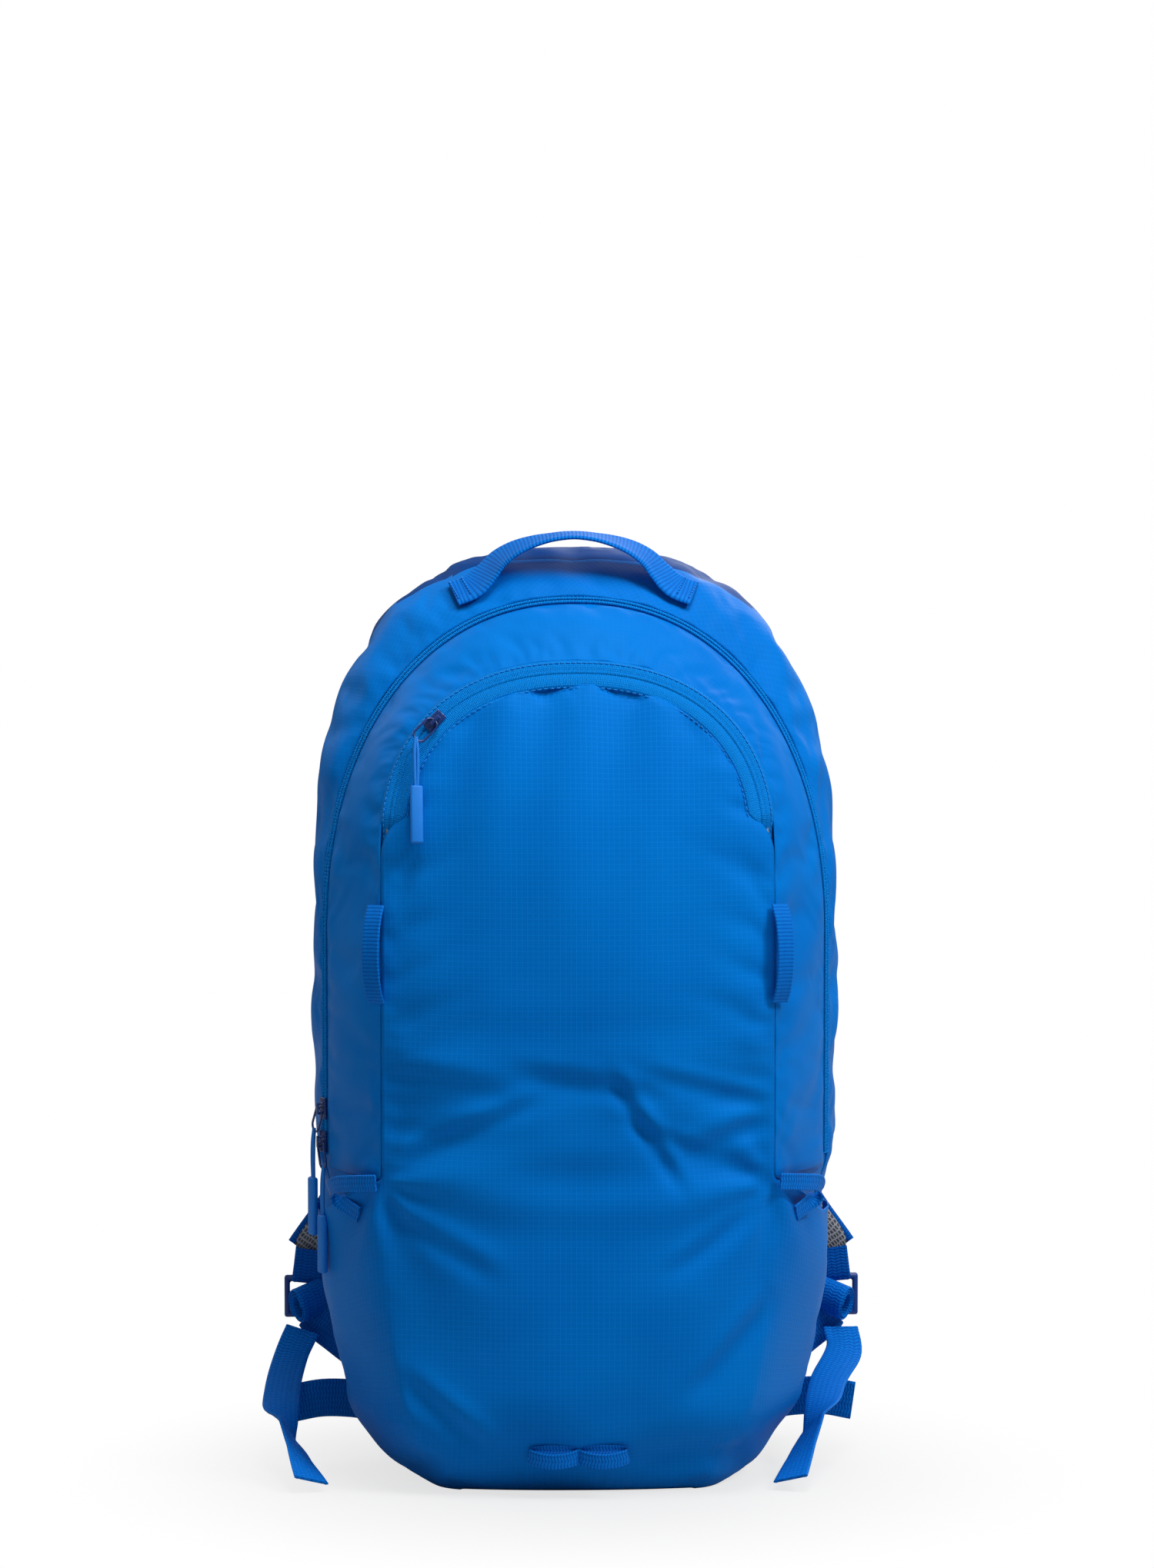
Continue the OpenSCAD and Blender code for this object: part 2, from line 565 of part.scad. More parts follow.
lower_front();
side_pocket_left();
side_pocket_right();
side_panel_left();
side_panel_right();
base_panel();
rear_gusset_left();
rear_gusset_right();
rear_gusset_top();
back_panel();
back_foam();
frame_sheet();
back_pad_left();
back_pad_right();
lumbar_pad();
strap_yoke();
reservoir_sleeve();
hanger_loop();
main_zip_rear();
pocket_loop_left();
pocket_loop_right();
light_loops();
handle_feet();
belt_webbing();
adjuster_web_left();
adjuster_web_right();
tail_left();
tail_right();
grab_handle();
front_panel();
front_gusset_left();
front_gusset_right();
front_gusset_top();
main_zip_front();
front_zip_outer();
pocket_back_wall();
gear_loop_left();
gear_loop_right();
key_tape();
key_hook();
pocket_lip();
front_zip_lip();
front_slider();
front_pull();
lower_slider();
lower_pull();
upper_slider();
upper_pull();
strap_left();
strap_right();
sternum_rails_left();
sternum_rails_right();
sternum_slider_left();
sternum_slider_right();
sternum_web_left();
sternum_web_right();
buckle_female();
buckle_male();
ladder_lock_left();
ladder_lock_right();
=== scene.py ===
import json
import math

import bmesh
import bpy
import numpy as np
from mathutils import Matrix, Vector


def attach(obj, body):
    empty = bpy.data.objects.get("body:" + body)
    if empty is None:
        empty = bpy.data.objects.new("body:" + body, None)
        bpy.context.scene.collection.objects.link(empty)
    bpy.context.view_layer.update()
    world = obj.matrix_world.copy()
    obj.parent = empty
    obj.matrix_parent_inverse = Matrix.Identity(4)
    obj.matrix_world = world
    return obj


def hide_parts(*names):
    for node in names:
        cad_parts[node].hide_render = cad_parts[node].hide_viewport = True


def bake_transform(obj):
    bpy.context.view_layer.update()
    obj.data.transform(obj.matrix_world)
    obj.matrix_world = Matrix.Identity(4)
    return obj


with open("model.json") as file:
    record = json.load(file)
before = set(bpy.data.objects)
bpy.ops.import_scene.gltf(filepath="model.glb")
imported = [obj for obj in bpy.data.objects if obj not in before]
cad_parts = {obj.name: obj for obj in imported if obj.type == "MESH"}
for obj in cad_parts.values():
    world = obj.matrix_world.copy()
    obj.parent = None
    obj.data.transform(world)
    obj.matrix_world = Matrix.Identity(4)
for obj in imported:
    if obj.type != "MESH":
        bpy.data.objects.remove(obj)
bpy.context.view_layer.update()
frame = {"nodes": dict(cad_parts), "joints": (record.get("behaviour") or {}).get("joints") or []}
scene = bpy.context.scene
scene.view_settings.view_transform = "Standard"
mm = 0.001
print("stage: frame loaded")

# The bag's own shape, in metres, the same curves as the frame's shells
bag = {
    "halfWidth": 0.132, "height": 0.471, "backY": 0.065, "frontY": -0.076, "foldZ": 0.166,
    "toeHeight": 0.150, "crown": 0.016, "panelHalf": 0.099, "zipY": -0.013, "sideY": 0.015,
}
seams = [  # front panel edge, main zip, widest line, back edge: half width, top, foot of the arch, roundness
    (0.099, 0.420, 0.328, 2.3), (0.128, 0.449, 0.280, 2.2),
    (0.132, 0.464, 0.310, 2.6), (0.121, 0.471, 0.300, 2.7),
]


def clamp01(v):
    return np.clip(v, 0, 1)


def ramp(v):
    v = clamp01(v)
    return v * v * (3 - 2 * v)


def unit(v):
    return v / np.maximum(np.linalg.norm(v, axis=-1, keepdims=True), 1e-12)


def toe(z):
    return (1 - (np.maximum(bag["toeHeight"] - z, 0) / (bag["toeHeight"] * 1.07)) ** 2) ** 0.25


def sag(z):
    high = 0.048 * (np.maximum(z - 0.2, 0) / (bag["height"] - 0.251)) ** 3
    return high + 0.026 * (np.maximum(0.06 - z, 0) / 0.06) ** 2


def frontAt(x, z):
    return bag["frontY"] + sag(z) + bag["crown"] * (np.abs(x) / bag["panelHalf"]) ** 2.2


def seamZ(k, u):
    u = np.abs(u)
    arch = k[2] + (k[1] - k[2]) * np.cos(np.clip(u, 0, 0.5) * math.pi).clip(0) ** (2 / k[3])
    leg = k[2] + (bag["foldZ"] - k[2]) * (u - 0.5) * 4
    return np.where(u < 0.5, arch, np.where(u < 0.75, leg, bag["foldZ"] * (1 - u) * 4))


def seamX(k, t):
    u = np.abs(t)
    arch = k[0] * np.sin(np.clip(u, 0, 0.5) * math.pi).clip(0) ** (2 / k[3])
    return np.sign(t) * np.where(u < 0.5, arch, k[0] * toe(seamZ(k, u)))


def seamY(i, x, z):
    k = seams[i]
    rise = (np.maximum(z - k[2], 0) / (k[1] - k[2])) ** 2
    if i == 0:
        return frontAt(x, z)
    if i == 1:
        return bag["zipY"] + 0.023 * rise
    if i == 2:
        return bag["sideY"] + 0.021 * rise
    return np.full_like(x, bag["backY"])


def onSeam(i, t):
    x, z = seamX(seams[i], t), seamZ(seams[i], t)
    return np.stack([x, seamY(i, x, z), z], -1)


def drawnIn(i, t):
    p = onSeam(i, t)
    x, z = p[..., 0] * 0.8, 0.22 + (p[..., 2] - 0.22) * 0.8
    return np.stack([x, seamY(i, x, z), z], -1)


def gusset(t, s):
    t, s = np.broadcast_arrays(np.asarray(t, float), np.asarray(s, float))
    lines = np.stack([drawnIn(0, t)] + [onSeam(i, t) for i in range(4)] + [drawnIn(3, t)])
    i = np.clip(np.floor(s).astype(int), 0, 2)
    a, b, c, d = (np.take_along_axis(lines, (i + j)[None, ..., None], 0)[0] for j in range(4))
    u = (s - i)[..., None]
    return 0.5 * (2 * b + (c - a) * u + (2 * a - 5 * b + 4 * c - d) * u ** 2
                  + (3 * b - a - 3 * c + d) * u ** 3)


def gussetOut(t, s):
    step = 0.01
    return unit(np.cross(gusset(t + step, s) - gusset(t - step, s),
                         gusset(t, s + step) - gusset(t, s - step)))


def legT(z):
    return 1 - z / bag["foldZ"] / 4


def insetSeam(inset):
    k = seams[0]
    return (k[0] - inset, k[1] - inset, k[2], k[3])


def onFront(x, z):
    return np.stack([x, frontAt(x, z), z], -1)


def frontOut(x, z):
    e = 0.001
    gx = (frontAt(x + e, z) - frontAt(x - e, z)) / (2 * e)
    gz = (frontAt(x, z + e) - frontAt(x, z - e)) / (2 * e)
    return unit(np.stack([gx, -np.ones_like(gx), gz], -1))


# Tools
def ripples(p, wavelength, seed, count=9):
    rng = np.random.default_rng(seed)
    total = np.zeros(p.shape[:-1])
    for _ in range(count):
        way = unit(rng.normal(size=p.shape[-1]))
        size = wavelength * rng.uniform(0.7, 1.6)
        total += np.sin(p @ way * 2 * math.pi / size + rng.uniform(0, 2 * math.pi))
    return total / math.sqrt(count)


def selectOnly(obj):
    bpy.ops.object.select_all(action="DESELECT")
    obj.select_set(True)
    bpy.context.view_layer.objects.active = obj


def modify(obj, kind, **settings):
    selectOnly(obj)
    modifier = obj.modifiers.new(kind.lower(), kind)
    for name, value in settings.items():
        setattr(modifier, name, value)
    bpy.ops.object.modifier_apply(modifier=modifier.name)
    return obj


def smooth(obj, angle=None):
    selectOnly(obj)
    if angle is None:
        bpy.ops.object.shade_smooth()
    else:
        bpy.ops.object.shade_smooth_by_angle(angle=math.radians(angle))
    return obj


def meshPiece(name, verts, faces, uvs=None):
    mesh = bpy.data.meshes.new(name)
    mesh.from_pydata([tuple(v) for v in verts], [], [tuple(f) for f in faces])
    layer = mesh.uv_layers.new(name="UVMap")
    if uvs is not None:
        loops = np.zeros(len(mesh.loops), int)
        mesh.loops.foreach_get("vertex_index", loops)
        layer.data.foreach_set("uv", np.asarray(uvs, float)[loops].ravel())
    mesh.update()
    obj = bpy.data.objects.new(name, mesh)
    scene.collection.objects.link(obj)
    return obj


def gridFaces(rows, cols, flip=False, start=0):
    i, j = np.meshgrid(np.arange(rows - 1), np.arange(cols - 1), indexing="ij")
    a = (start + i * cols + j).ravel()
    quads = np.stack([a, a + cols, a + cols + 1, a + 1], -1)
    return (quads[:, ::-1] if flip else quads).tolist()


def arcLengths(points, axis):
    steps = np.linalg.norm(np.diff(points, axis=axis), axis=-1)
    return np.concatenate([np.zeros_like(np.take(steps, [0], axis)), np.cumsum(steps, axis)], axis)


def gridUvs(points):
    cols = points.shape[1]
    across, along = arcLengths(points, 1), arcLengths(points, 0)
    across = across - across[:, cols // 2:cols // 2 + 1]
    along = np.repeat(along[:, cols // 2:cols // 2 + 1], cols, 1)
    return np.stack([across, along], -1).reshape(-1, 2)


def sheetGrid(name, points, flip=False, uvs=None):
    rows, cols = points.shape[:2]
    return meshPiece(name, points.reshape(-1, 3), gridFaces(rows, cols, flip),
                     gridUvs(points) if uvs is None else uvs)


def finishCloth(obj, thick, material, levels=1):
    if levels:
        modify(obj, "SUBSURF", levels=levels, render_levels=levels)
    modify(obj, "SOLIDIFY", thickness=thick, offset=-1, use_even_offset=False)
    smooth(obj)
    obj.data.materials.clear()
    obj.data.materials.append(material)
    return obj


def readPoints(obj):
    co = np.zeros(len(obj.data.vertices) * 3)
    obj.data.vertices.foreach_get("co", co)
    return co.reshape(-1, 3)


def writePoints(obj, co):
    obj.data.vertices.foreach_set("co", np.asarray(co, float).ravel())
    obj.data.update()


def relaxCloth(obj, pins, pressure, growth, cap, stiffness=12, bending=0.6):
    # The cloth is cut a little larger than its place, sewn down where it is pinned, and filled from inside
    before = readPoints(obj)
    group = obj.vertex_groups.new(name="pins")
    for weight in np.unique(np.round(pins, 2)):
        if weight > 0:
            group.add([int(i) for i in np.where(np.round(pins, 2) == weight)[0]], float(weight), "REPLACE")
    selectOnly(obj)
    cloth = obj.modifiers.new("cloth", "CLOTH")
    s = cloth.settings
    s.quality = 6
    s.mass = 0.15
    s.tension_stiffness = s.compression_stiffness = stiffness
    s.shear_stiffness = stiffness * 0.4
    s.bending_stiffness = bending
    s.air_damping = 4
    s.vertex_group_mass = "pins"
    s.shrink_min = -growth
    s.use_pressure = True
    s.uniform_pressure_force = pressure
    s.effector_weights.gravity = 0
    cloth.collision_settings.use_collision = False
    cloth.collision_settings.use_self_collision = False
    cloth.point_cache.frame_start = 1
    cloth.point_cache.frame_end = 20
    for number in range(1, 21):
        scene.frame_set(number)
    bpy.ops.object.modifier_apply(modifier=cloth.name)
    scene.frame_set(1)
    moved = readPoints(obj) - before
    size = np.linalg.norm(moved, axis=1, keepdims=True)
    soft = cap * np.tanh(size / cap) / np.maximum(size, 1e-9)
    writePoints(obj, before + moved * soft)
    obj.vertex_groups.clear()
    return obj


def sweep(name, path, across, section, ends=True, uvScale=1.0):
    # A closed section, given as (across, up) pairs, carried along a path
    path, across = np.asarray(path, float), np.asarray(across, float)
    n = len(path)
    along = unit(np.gradient(path, axis=0))
    side = unit(across - (across * along).sum(-1, keepdims=True) * along)
    up = np.cross(along, side)
    rings = []
    for i in range(n):
        part = section[i] if isinstance(section, list) else section
        rings.append(path[i] + part[:, :1] * side[i] + part[:, 1:] * up[i])
    rings = np.array(rings)
    m = rings.shape[1]
    faces = []
    for i in range(n - 1):
        for j in range(m):
            k = (j + 1) % m
            faces.append((i * m + j, i * m + k, (i + 1) * m + k, (i + 1) * m + j))
    if ends:
        faces.append(tuple(range(m - 1, -1, -1)))
        faces.append(tuple((n - 1) * m + j for j in range(m)))
    length = np.concatenate([[0], np.cumsum(np.linalg.norm(np.diff(path, axis=0), axis=1))])
    first = section[0] if isinstance(section, list) else section
    uvs = np.stack([np.tile(first[:, 0], n), np.repeat(length, m)], -1) * uvScale
    obj = meshPiece(name, rings.reshape(-1, 3), faces, uvs)
    return recalc(obj)


def recalc(obj):
    selectOnly(obj)
    bpy.ops.object.mode_set(mode="EDIT")
    bpy.ops.mesh.select_all(action="SELECT")
    bpy.ops.mesh.normals_make_consistent(inside=False)
    bpy.ops.object.mode_set(mode="OBJECT")
    return obj


def curvePath(points, count):
    # Smooth curve through a few points, evenly spaced
    p = np.asarray(points, float)
    p = np.vstack([2 * p[0] - p[1], p, 2 * p[-1] - p[-2]])
    out = []
    for i in range(1, len(p) - 2):
        u = np.linspace(0, 1, 24, endpoint=i == len(p) - 3)[:, None]
        a, b, c, d = p[i - 1], p[i], p[i + 1], p[i + 2]
        out.append(0.5 * (2 * b + (c - a) * u + (2 * a - 5 * b + 4 * c - d) * u ** 2
                          + (3 * b - a - 3 * c + d) * u ** 3))
    out = np.vstack(out)
    length = np.concatenate([[0], np.cumsum(np.linalg.norm(np.diff(out, axis=0), axis=1))])
    want = np.linspace(0, length[-1], count)
    return np.stack([np.interp(want, length, out[:, k]) for k in range(3)], -1)


def webSection(width, thick):
    # Flat woven band with soft edges and a slightly raised selvedge on each side
    half = width / 2
    top = [(half * x, thick / 2 * h) for x, h in
           ((-0.97, 0.55), (-0.86, 1.0), (-0.72, 0.82), (-0.3, 0.88), (0.3, 0.88), (0.72, 0.82), (0.86, 1.0),
            (0.97, 0.55))]
    return np.array([(-half, 0)] + top + [(half, 0)] + [(x, -z) for x, z in reversed(top)])


def webbing(name, points, across, width, thick, material, spacing=0.0025, wave=0.0, seed=1):
    length = np.linalg.norm(np.diff(np.asarray(points, float), axis=0), axis=1).sum()
    path = curvePath(points, max(8, int(length / spacing)))
    across = np.asarray(across, float)
    if across.ndim == 1:
        across = np.tile(across, (len(path), 1))
    else:
        at = np.linspace(0, len(across) - 1, len(path))
        across = np.stack([np.interp(at, np.arange(len(across)), across[:, k]) for k in range(3)], -1)
    if wave:
        path = path + wave * ripples(path, 0.05, seed)[:, None] * np.array([0, 1, 0.3])
    obj = sweep(name, path, across, webSection(width, thick))
    smooth(obj, 50)
    obj.data.materials.append(material)
    return obj


def stitchRow(name, path, out, material, pitch=0.0032, length=0.0023, radius=0.00034, lift=0.0002):
    # Short raised threads, each a small faceted grain
    length_ = np.concatenate([[0], np.cumsum(np.linalg.norm(np.diff(path, axis=0), axis=1))])
    count = int(length_[-1] / pitch)
    at = (np.arange(count) + 0.5) * pitch
    centre = np.stack([np.interp(at, length_, path[:, k]) for k in range(3)], -1)
    ahead = np.stack([np.interp(at + pitch / 4, length_, path[:, k]) for k in range(3)], -1)
    up = unit(np.stack([np.interp(at, length_, out[:, k]) for k in range(3)], -1))
    along = unit(ahead - centre)
    side = unit(np.cross(along, up))
    verts, faces = [], []
    rings = ((-0.5, 0.35), (-0.25, 1.0), (0.25, 1.0), (0.5, 0.35))
    for i in range(count):
        base = len(verts)
        for place, size in rings:
            c = centre[i] + along[i] * place * length + up[i] * lift
            for j in range(5):
                a = 2 * math.pi * j / 5
                verts.append(c + radius * size * (math.cos(a) * side[i] + math.sin(a) * up[i]))
        for r in range(3):
            for j in range(5):
                k = (j + 1) % 5
                faces.append((base + r * 5 + j, base + r * 5 + k, base + r * 5 + 5 + k, base + r * 5 + 5 + j))
        faces.append([base + j for j in range(4, -1, -1)])
        faces.append([base + 15 + j for j in range(5)])
    obj = recalc(meshPiece(name, verts, faces, np.zeros((len(verts), 2))))
    smooth(obj)
    obj.data.materials.append(material)
    return obj


def joined(name, pieces):
    selectOnly(pieces[0])
    for piece in pieces[1:]:
        piece.select_set(True)
    bpy.ops.object.join()
    obj = bpy.context.view_layer.objects.active
    obj.name = obj.data.name = name
    return obj


def settle(obj):
    # A finished piece sits at the origin with its place in its mesh
    selectOnly(obj)
    bpy.ops.object.transform_apply(location=True, rotation=True, scale=True)
    return obj


def keep(obj, body, slotName, *nodes, mount=True):
    if mount:
        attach(obj, body)
    if nodes:
        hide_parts(*nodes)
    return obj


# Materials
def nodeGroup(name, inputs, outputs):
    group = bpy.data.node_groups.new(name, "ShaderNodeTree")
    for label, kind, value in inputs:
        socket = group.interface.new_socket(label, in_out="INPUT", socket_type=kind)
        if value is not None:
            socket.default_value = value
    for label, kind in outputs:
        group.interface.new_socket(label, in_out="OUTPUT", socket_type=kind)
    return group, group.nodes.new("NodeGroupInput"), group.nodes.new("NodeGroupOutput")


class Wires:
    def __init__(self, tree):
        self.tree = tree

    def node(self, kind, **settings):
        made = self.tree.nodes.new(kind)
        for name, value in settings.items():
            setattr(made, name, value)
        return made

    def put(self, socket, value):
        if isinstance(value, bpy.types.NodeSocket):
            self.tree.links.new(value, socket)
        else:
            socket.default_value = value

    def math(self, operation, a, b=0.0, c=None):
        made = self.node("ShaderNodeMath", operation=operation)
        self.put(made.inputs[0], a)
        self.put(made.inputs[1], b)
        if c is not None:
            self.put(made.inputs[2], c)
        return made.outputs[0]

    def band(self, value, low, high, outLow=0.0, outHigh=1.0):
        made = self.node("ShaderNodeMapRange", interpolation_type="SMOOTHSTEP")
        for i, v in enumerate((value, low, high, outLow, outHigh)):
            self.put(made.inputs[i], v)
        return made.outputs[0]

    def mix(self, factor, a, b):
        made = self.node("ShaderNodeMix", data_type="RGBA")
        self.put(made.inputs[0], factor)
        self.put(made.inputs[6], a)
        self.put(made.inputs[7], b)
        return made.outputs[2]

    def noise(self, vector, scale, detail=2.0, rough=0.5):
        made = self.node("ShaderNodeTexNoise")
        self.put(made.inputs["Vector"], vector)
        made.inputs["Scale"].default_value = scale
        made.inputs["Detail"].default_value = detail
        made.inputs["Roughness"].default_value = rough
        return made.outputs["Fac"]


def gridGroup():
    # Raised square grid of thicker threads over a fine plain weave
    group, start, end = nodeGroup("ripstopGrid", [
        ("Vector", "NodeSocketVector", None), ("Pitch", "NodeSocketFloat", 0.0027),
        ("Line", "NodeSocketFloat", 0.16), ("Thread", "NodeSocketFloat", 0.00045)],
        [("Grid", "NodeSocketFloat"), ("Weave", "NodeSocketFloat")])
    w = Wires(group)
    split = w.node("ShaderNodeSeparateXYZ")
    group.links.new(start.outputs["Vector"], split.inputs[0])

    def line(axis):
        place = w.math("DIVIDE", split.outputs[axis], start.outputs["Pitch"])
        away = w.math("ABSOLUTE", w.math("SUBTRACT", w.math("FRACT", place), 0.5))
        return w.band(away, 0.0, start.outputs["Line"], 1.0, 0.0)

    def thread(axis, shift):
        place = w.math("DIVIDE", split.outputs[axis], start.outputs["Thread"])
        return w.math("SINE", w.math("ADD", w.math("MULTIPLY", place, math.pi), shift))

    grid = w.math("MAXIMUM", line(0), w.math("MULTIPLY", line(1), 0.85))
    weave = w.math("MULTIPLY", thread(0, 0.0), thread(1, 0.6))
    group.links.new(grid, end.inputs["Grid"])
    group.links.new(w.math("MULTIPLY_ADD", weave, 0.5, 0.5), end.inputs["Weave"])
    return group


def ribGroup():
    # Ribs across a webbing, with a woven centre and plain selvedges
    group, start, end = nodeGroup("webRibs", [
        ("Vector", "NodeSocketVector", None), ("Rib", "NodeSocketFloat", 0.0016),
        ("Cord", "NodeSocketFloat", 0.0024)],
        [("Ribs", "NodeSocketFloat"), ("Cords", "NodeSocketFloat")])
    w = Wires(group)
    split = w.node("ShaderNodeSeparateXYZ")
    group.links.new(start.outputs["Vector"], split.inputs[0])
    cords = w.math("DIVIDE", split.outputs[0], start.outputs["Cord"])
    skew = w.math("MULTIPLY", w.math("PINGPONG", cords, 1.0), 0.5)
    ribs = w.math("FRACT", w.math("ADD", w.math("DIVIDE", split.outputs[1], start.outputs["Rib"]), skew))
    high = w.band(w.math("ABSOLUTE", w.math("SUBTRACT", ribs, 0.5)), 0.1, 0.5, 1.0, 0.0)
    group.links.new(high, end.inputs["Ribs"])
    group.links.new(w.band(w.math("PINGPONG", cords, 0.5), 0.0, 0.35), end.inputs["Cords"])
    return group


def wearGroup():
    # Slow change of tone, and dust that settles in from a noise
    group, start, end = nodeGroup("toneDrift", [
        ("Vector", "NodeSocketVector", None), ("Size", "NodeSocketFloat", 9.0),
        ("Amount", "NodeSocketFloat", 0.2)], [("Tone", "NodeSocketFloat")])
    w = Wires(group)
    noise = w.node("ShaderNodeTexNoise")
    group.links.new(start.outputs["Vector"], noise.inputs["Vector"])
    group.links.new(start.outputs["Size"], noise.inputs["Scale"])
    noise.inputs["Detail"].default_value = 3
    centred = w.math("SUBTRACT", noise.outputs["Fac"], 0.5)
    group.links.new(w.math("MULTIPLY_ADD", centred, start.outputs["Amount"], 0.5), end.inputs["Tone"])
    return group


groups = {"grid": gridGroup(), "ribs": ribGroup(), "tone": wearGroup()}


def startMaterial(name, roughness, specular, tint=(1, 1, 1, 1), sheen=0.0, sheenTint=(1, 1, 1, 1)):
    material = bpy.data.materials.new(name)
    material.use_nodes = True
    tree = material.node_tree
    shader = tree.nodes["Principled BSDF"]
    shader.inputs["Roughness"].default_value = roughness
    shader.inputs["Specular IOR Level"].default_value = specular
    shader.inputs["Specular Tint"].default_value = tint
    shader.inputs["Sheen Weight"].default_value = sheen
    shader.inputs["Sheen Roughness"].default_value = 0.45
    shader.inputs["Sheen Tint"].default_value = sheenTint
    coords = tree.nodes.new("ShaderNodeTexCoord")
    return material, Wires(tree), shader, coords


def place(w, kind, **values):
    made = w.node("ShaderNodeGroup", node_tree=groups[kind])
    for name, value in values.items():
        w.put(made.inputs[name], value)
    return made


def bump(w, shader, height, strength, distance):
    made = w.node("ShaderNodeBump")
    made.inputs["Strength"].default_value = strength
    made.inputs["Distance"].default_value = distance
    w.put(made.inputs["Height"], height)
    w.put(shader.inputs["Normal"], made.outputs[0])


def clothMaterial(name, dark, light, grid=1.0, pitch=0.0027, turn=0.0, roughness=0.5, specular=0.1,
                  sheen=0.02,
                  tint=(0.02, 0.35, 1, 1), depth=0.00006):
    material, w, shader, coords = startMaterial(name, roughness, specular, tint, sheen, (0.05, 0.45, 1, 1))
    mapping = w.node("ShaderNodeMapping")
    mapping.inputs["Rotation"].default_value = (0, 0, math.radians(turn))
    w.put(mapping.inputs["Vector"], coords.outputs["UV"])
    pattern = place(w, "grid", Vector=mapping.outputs[0], Pitch=pitch)
    tone = place(w, "tone", Vector=coords.outputs["Object"], Size=11.0, Amount=1.3)
    base = w.mix(tone.outputs[0], dark, light)
    lines = w.math("MULTIPLY", pattern.outputs["Grid"], 0.15 * grid)
    fine = w.math("MULTIPLY_ADD", pattern.outputs["Weave"], 0.1, lines)
    bright = tuple(min(1, c * 1.5 + 0.01) for c in light[:3]) + (1,)
    w.put(shader.inputs["Base Color"], w.mix(fine, base, bright))
    height = w.math("MULTIPLY_ADD", pattern.outputs["Grid"], grid,
                    w.math("MULTIPLY", pattern.outputs["Weave"], 0.35))
    w.put(shader.inputs["Roughness"], w.math("MULTIPLY_ADD", tone.outputs[0], 0.16, roughness - 0.08))
    bump(w, shader, height, 0.6, depth)
    return material


def webMaterial(name, dark, light, rib=0.0016, cord=0.0026, roughness=0.6):
    material, w, shader, coords = startMaterial(name, roughness, 0.2, (0.05, 0.4, 1, 1), 0.04,
                                                (0.02, 0.4, 1, 1))
    pattern = place(w, "ribs", Vector=coords.outputs["UV"], Rib=rib, Cord=cord)
    fuzz = w.noise(coords.outputs["Object"], 700)
    shade = w.math("MULTIPLY", pattern.outputs["Ribs"],
                   w.math("MULTIPLY_ADD", pattern.outputs["Cords"], 0.5, 0.5))
    w.put(shader.inputs["Base Color"],
          w.mix(w.math("MULTIPLY_ADD", fuzz, 0.25, w.math("MULTIPLY", shade, 0.75)),
                                             dark, light))
    bump(w, shader, shade, 0.9, 0.00022)
    return material


def meshMaterial(name, dark, light, cell=0.0028):
    # Spacer mesh: round open cells in staggered rows over a darker backing
    material, w, shader, coords = startMaterial(name, 0.85, 0.15, (1, 1, 1, 1), 0.3)
    scaled = w.node("ShaderNodeMapping")
    scaled.inputs["Scale"].default_value = (1 / cell,) * 3
    w.put(scaled.inputs["Vector"], coords.outputs["UV"])
    cells = w.node("ShaderNodeTexVoronoi", feature="DISTANCE_TO_EDGE", voronoi_dimensions="2D")
    cells.inputs["Scale"].default_value = 1.0
    cells.inputs["Randomness"].default_value = 0.35
    w.put(cells.inputs["Vector"], scaled.outputs[0])
    rim = w.band(cells.outputs["Distance"], 0.05, 0.28, 1.0, 0.0)
    tone = place(w, "tone", Vector=coords.outputs["Object"], Size=14.0, Amount=0.8)
    w.put(shader.inputs["Base Color"],
          w.mix(rim, dark, w.mix(tone.outputs[0], light, tuple(c * 1.15 for c in light))))
    bump(w, shader, rim, 0.9, 0.0005)
    return material


def plasticMaterial(name, color, light, roughness=0.42, grain=1200, depth=0.00004, specular=0.45,
                    metallic=0.0):
    material, w, shader, coords = startMaterial(name, roughness, specular)
    shader.inputs["Metallic"].default_value = metallic
    grainHeight = w.noise(coords.outputs["Object"], grain, 3)
    tone = place(w, "tone", Vector=coords.outputs["Object"], Size=60.0, Amount=1.0)
    w.put(shader.inputs["Base Color"], w.mix(tone.outputs[0], color, light))
    w.put(shader.inputs["Roughness"], w.math("MULTIPLY_ADD", grainHeight, 0.2, roughness - 0.1))
    bump(w, shader, grainHeight, 0.5, depth)
    return material


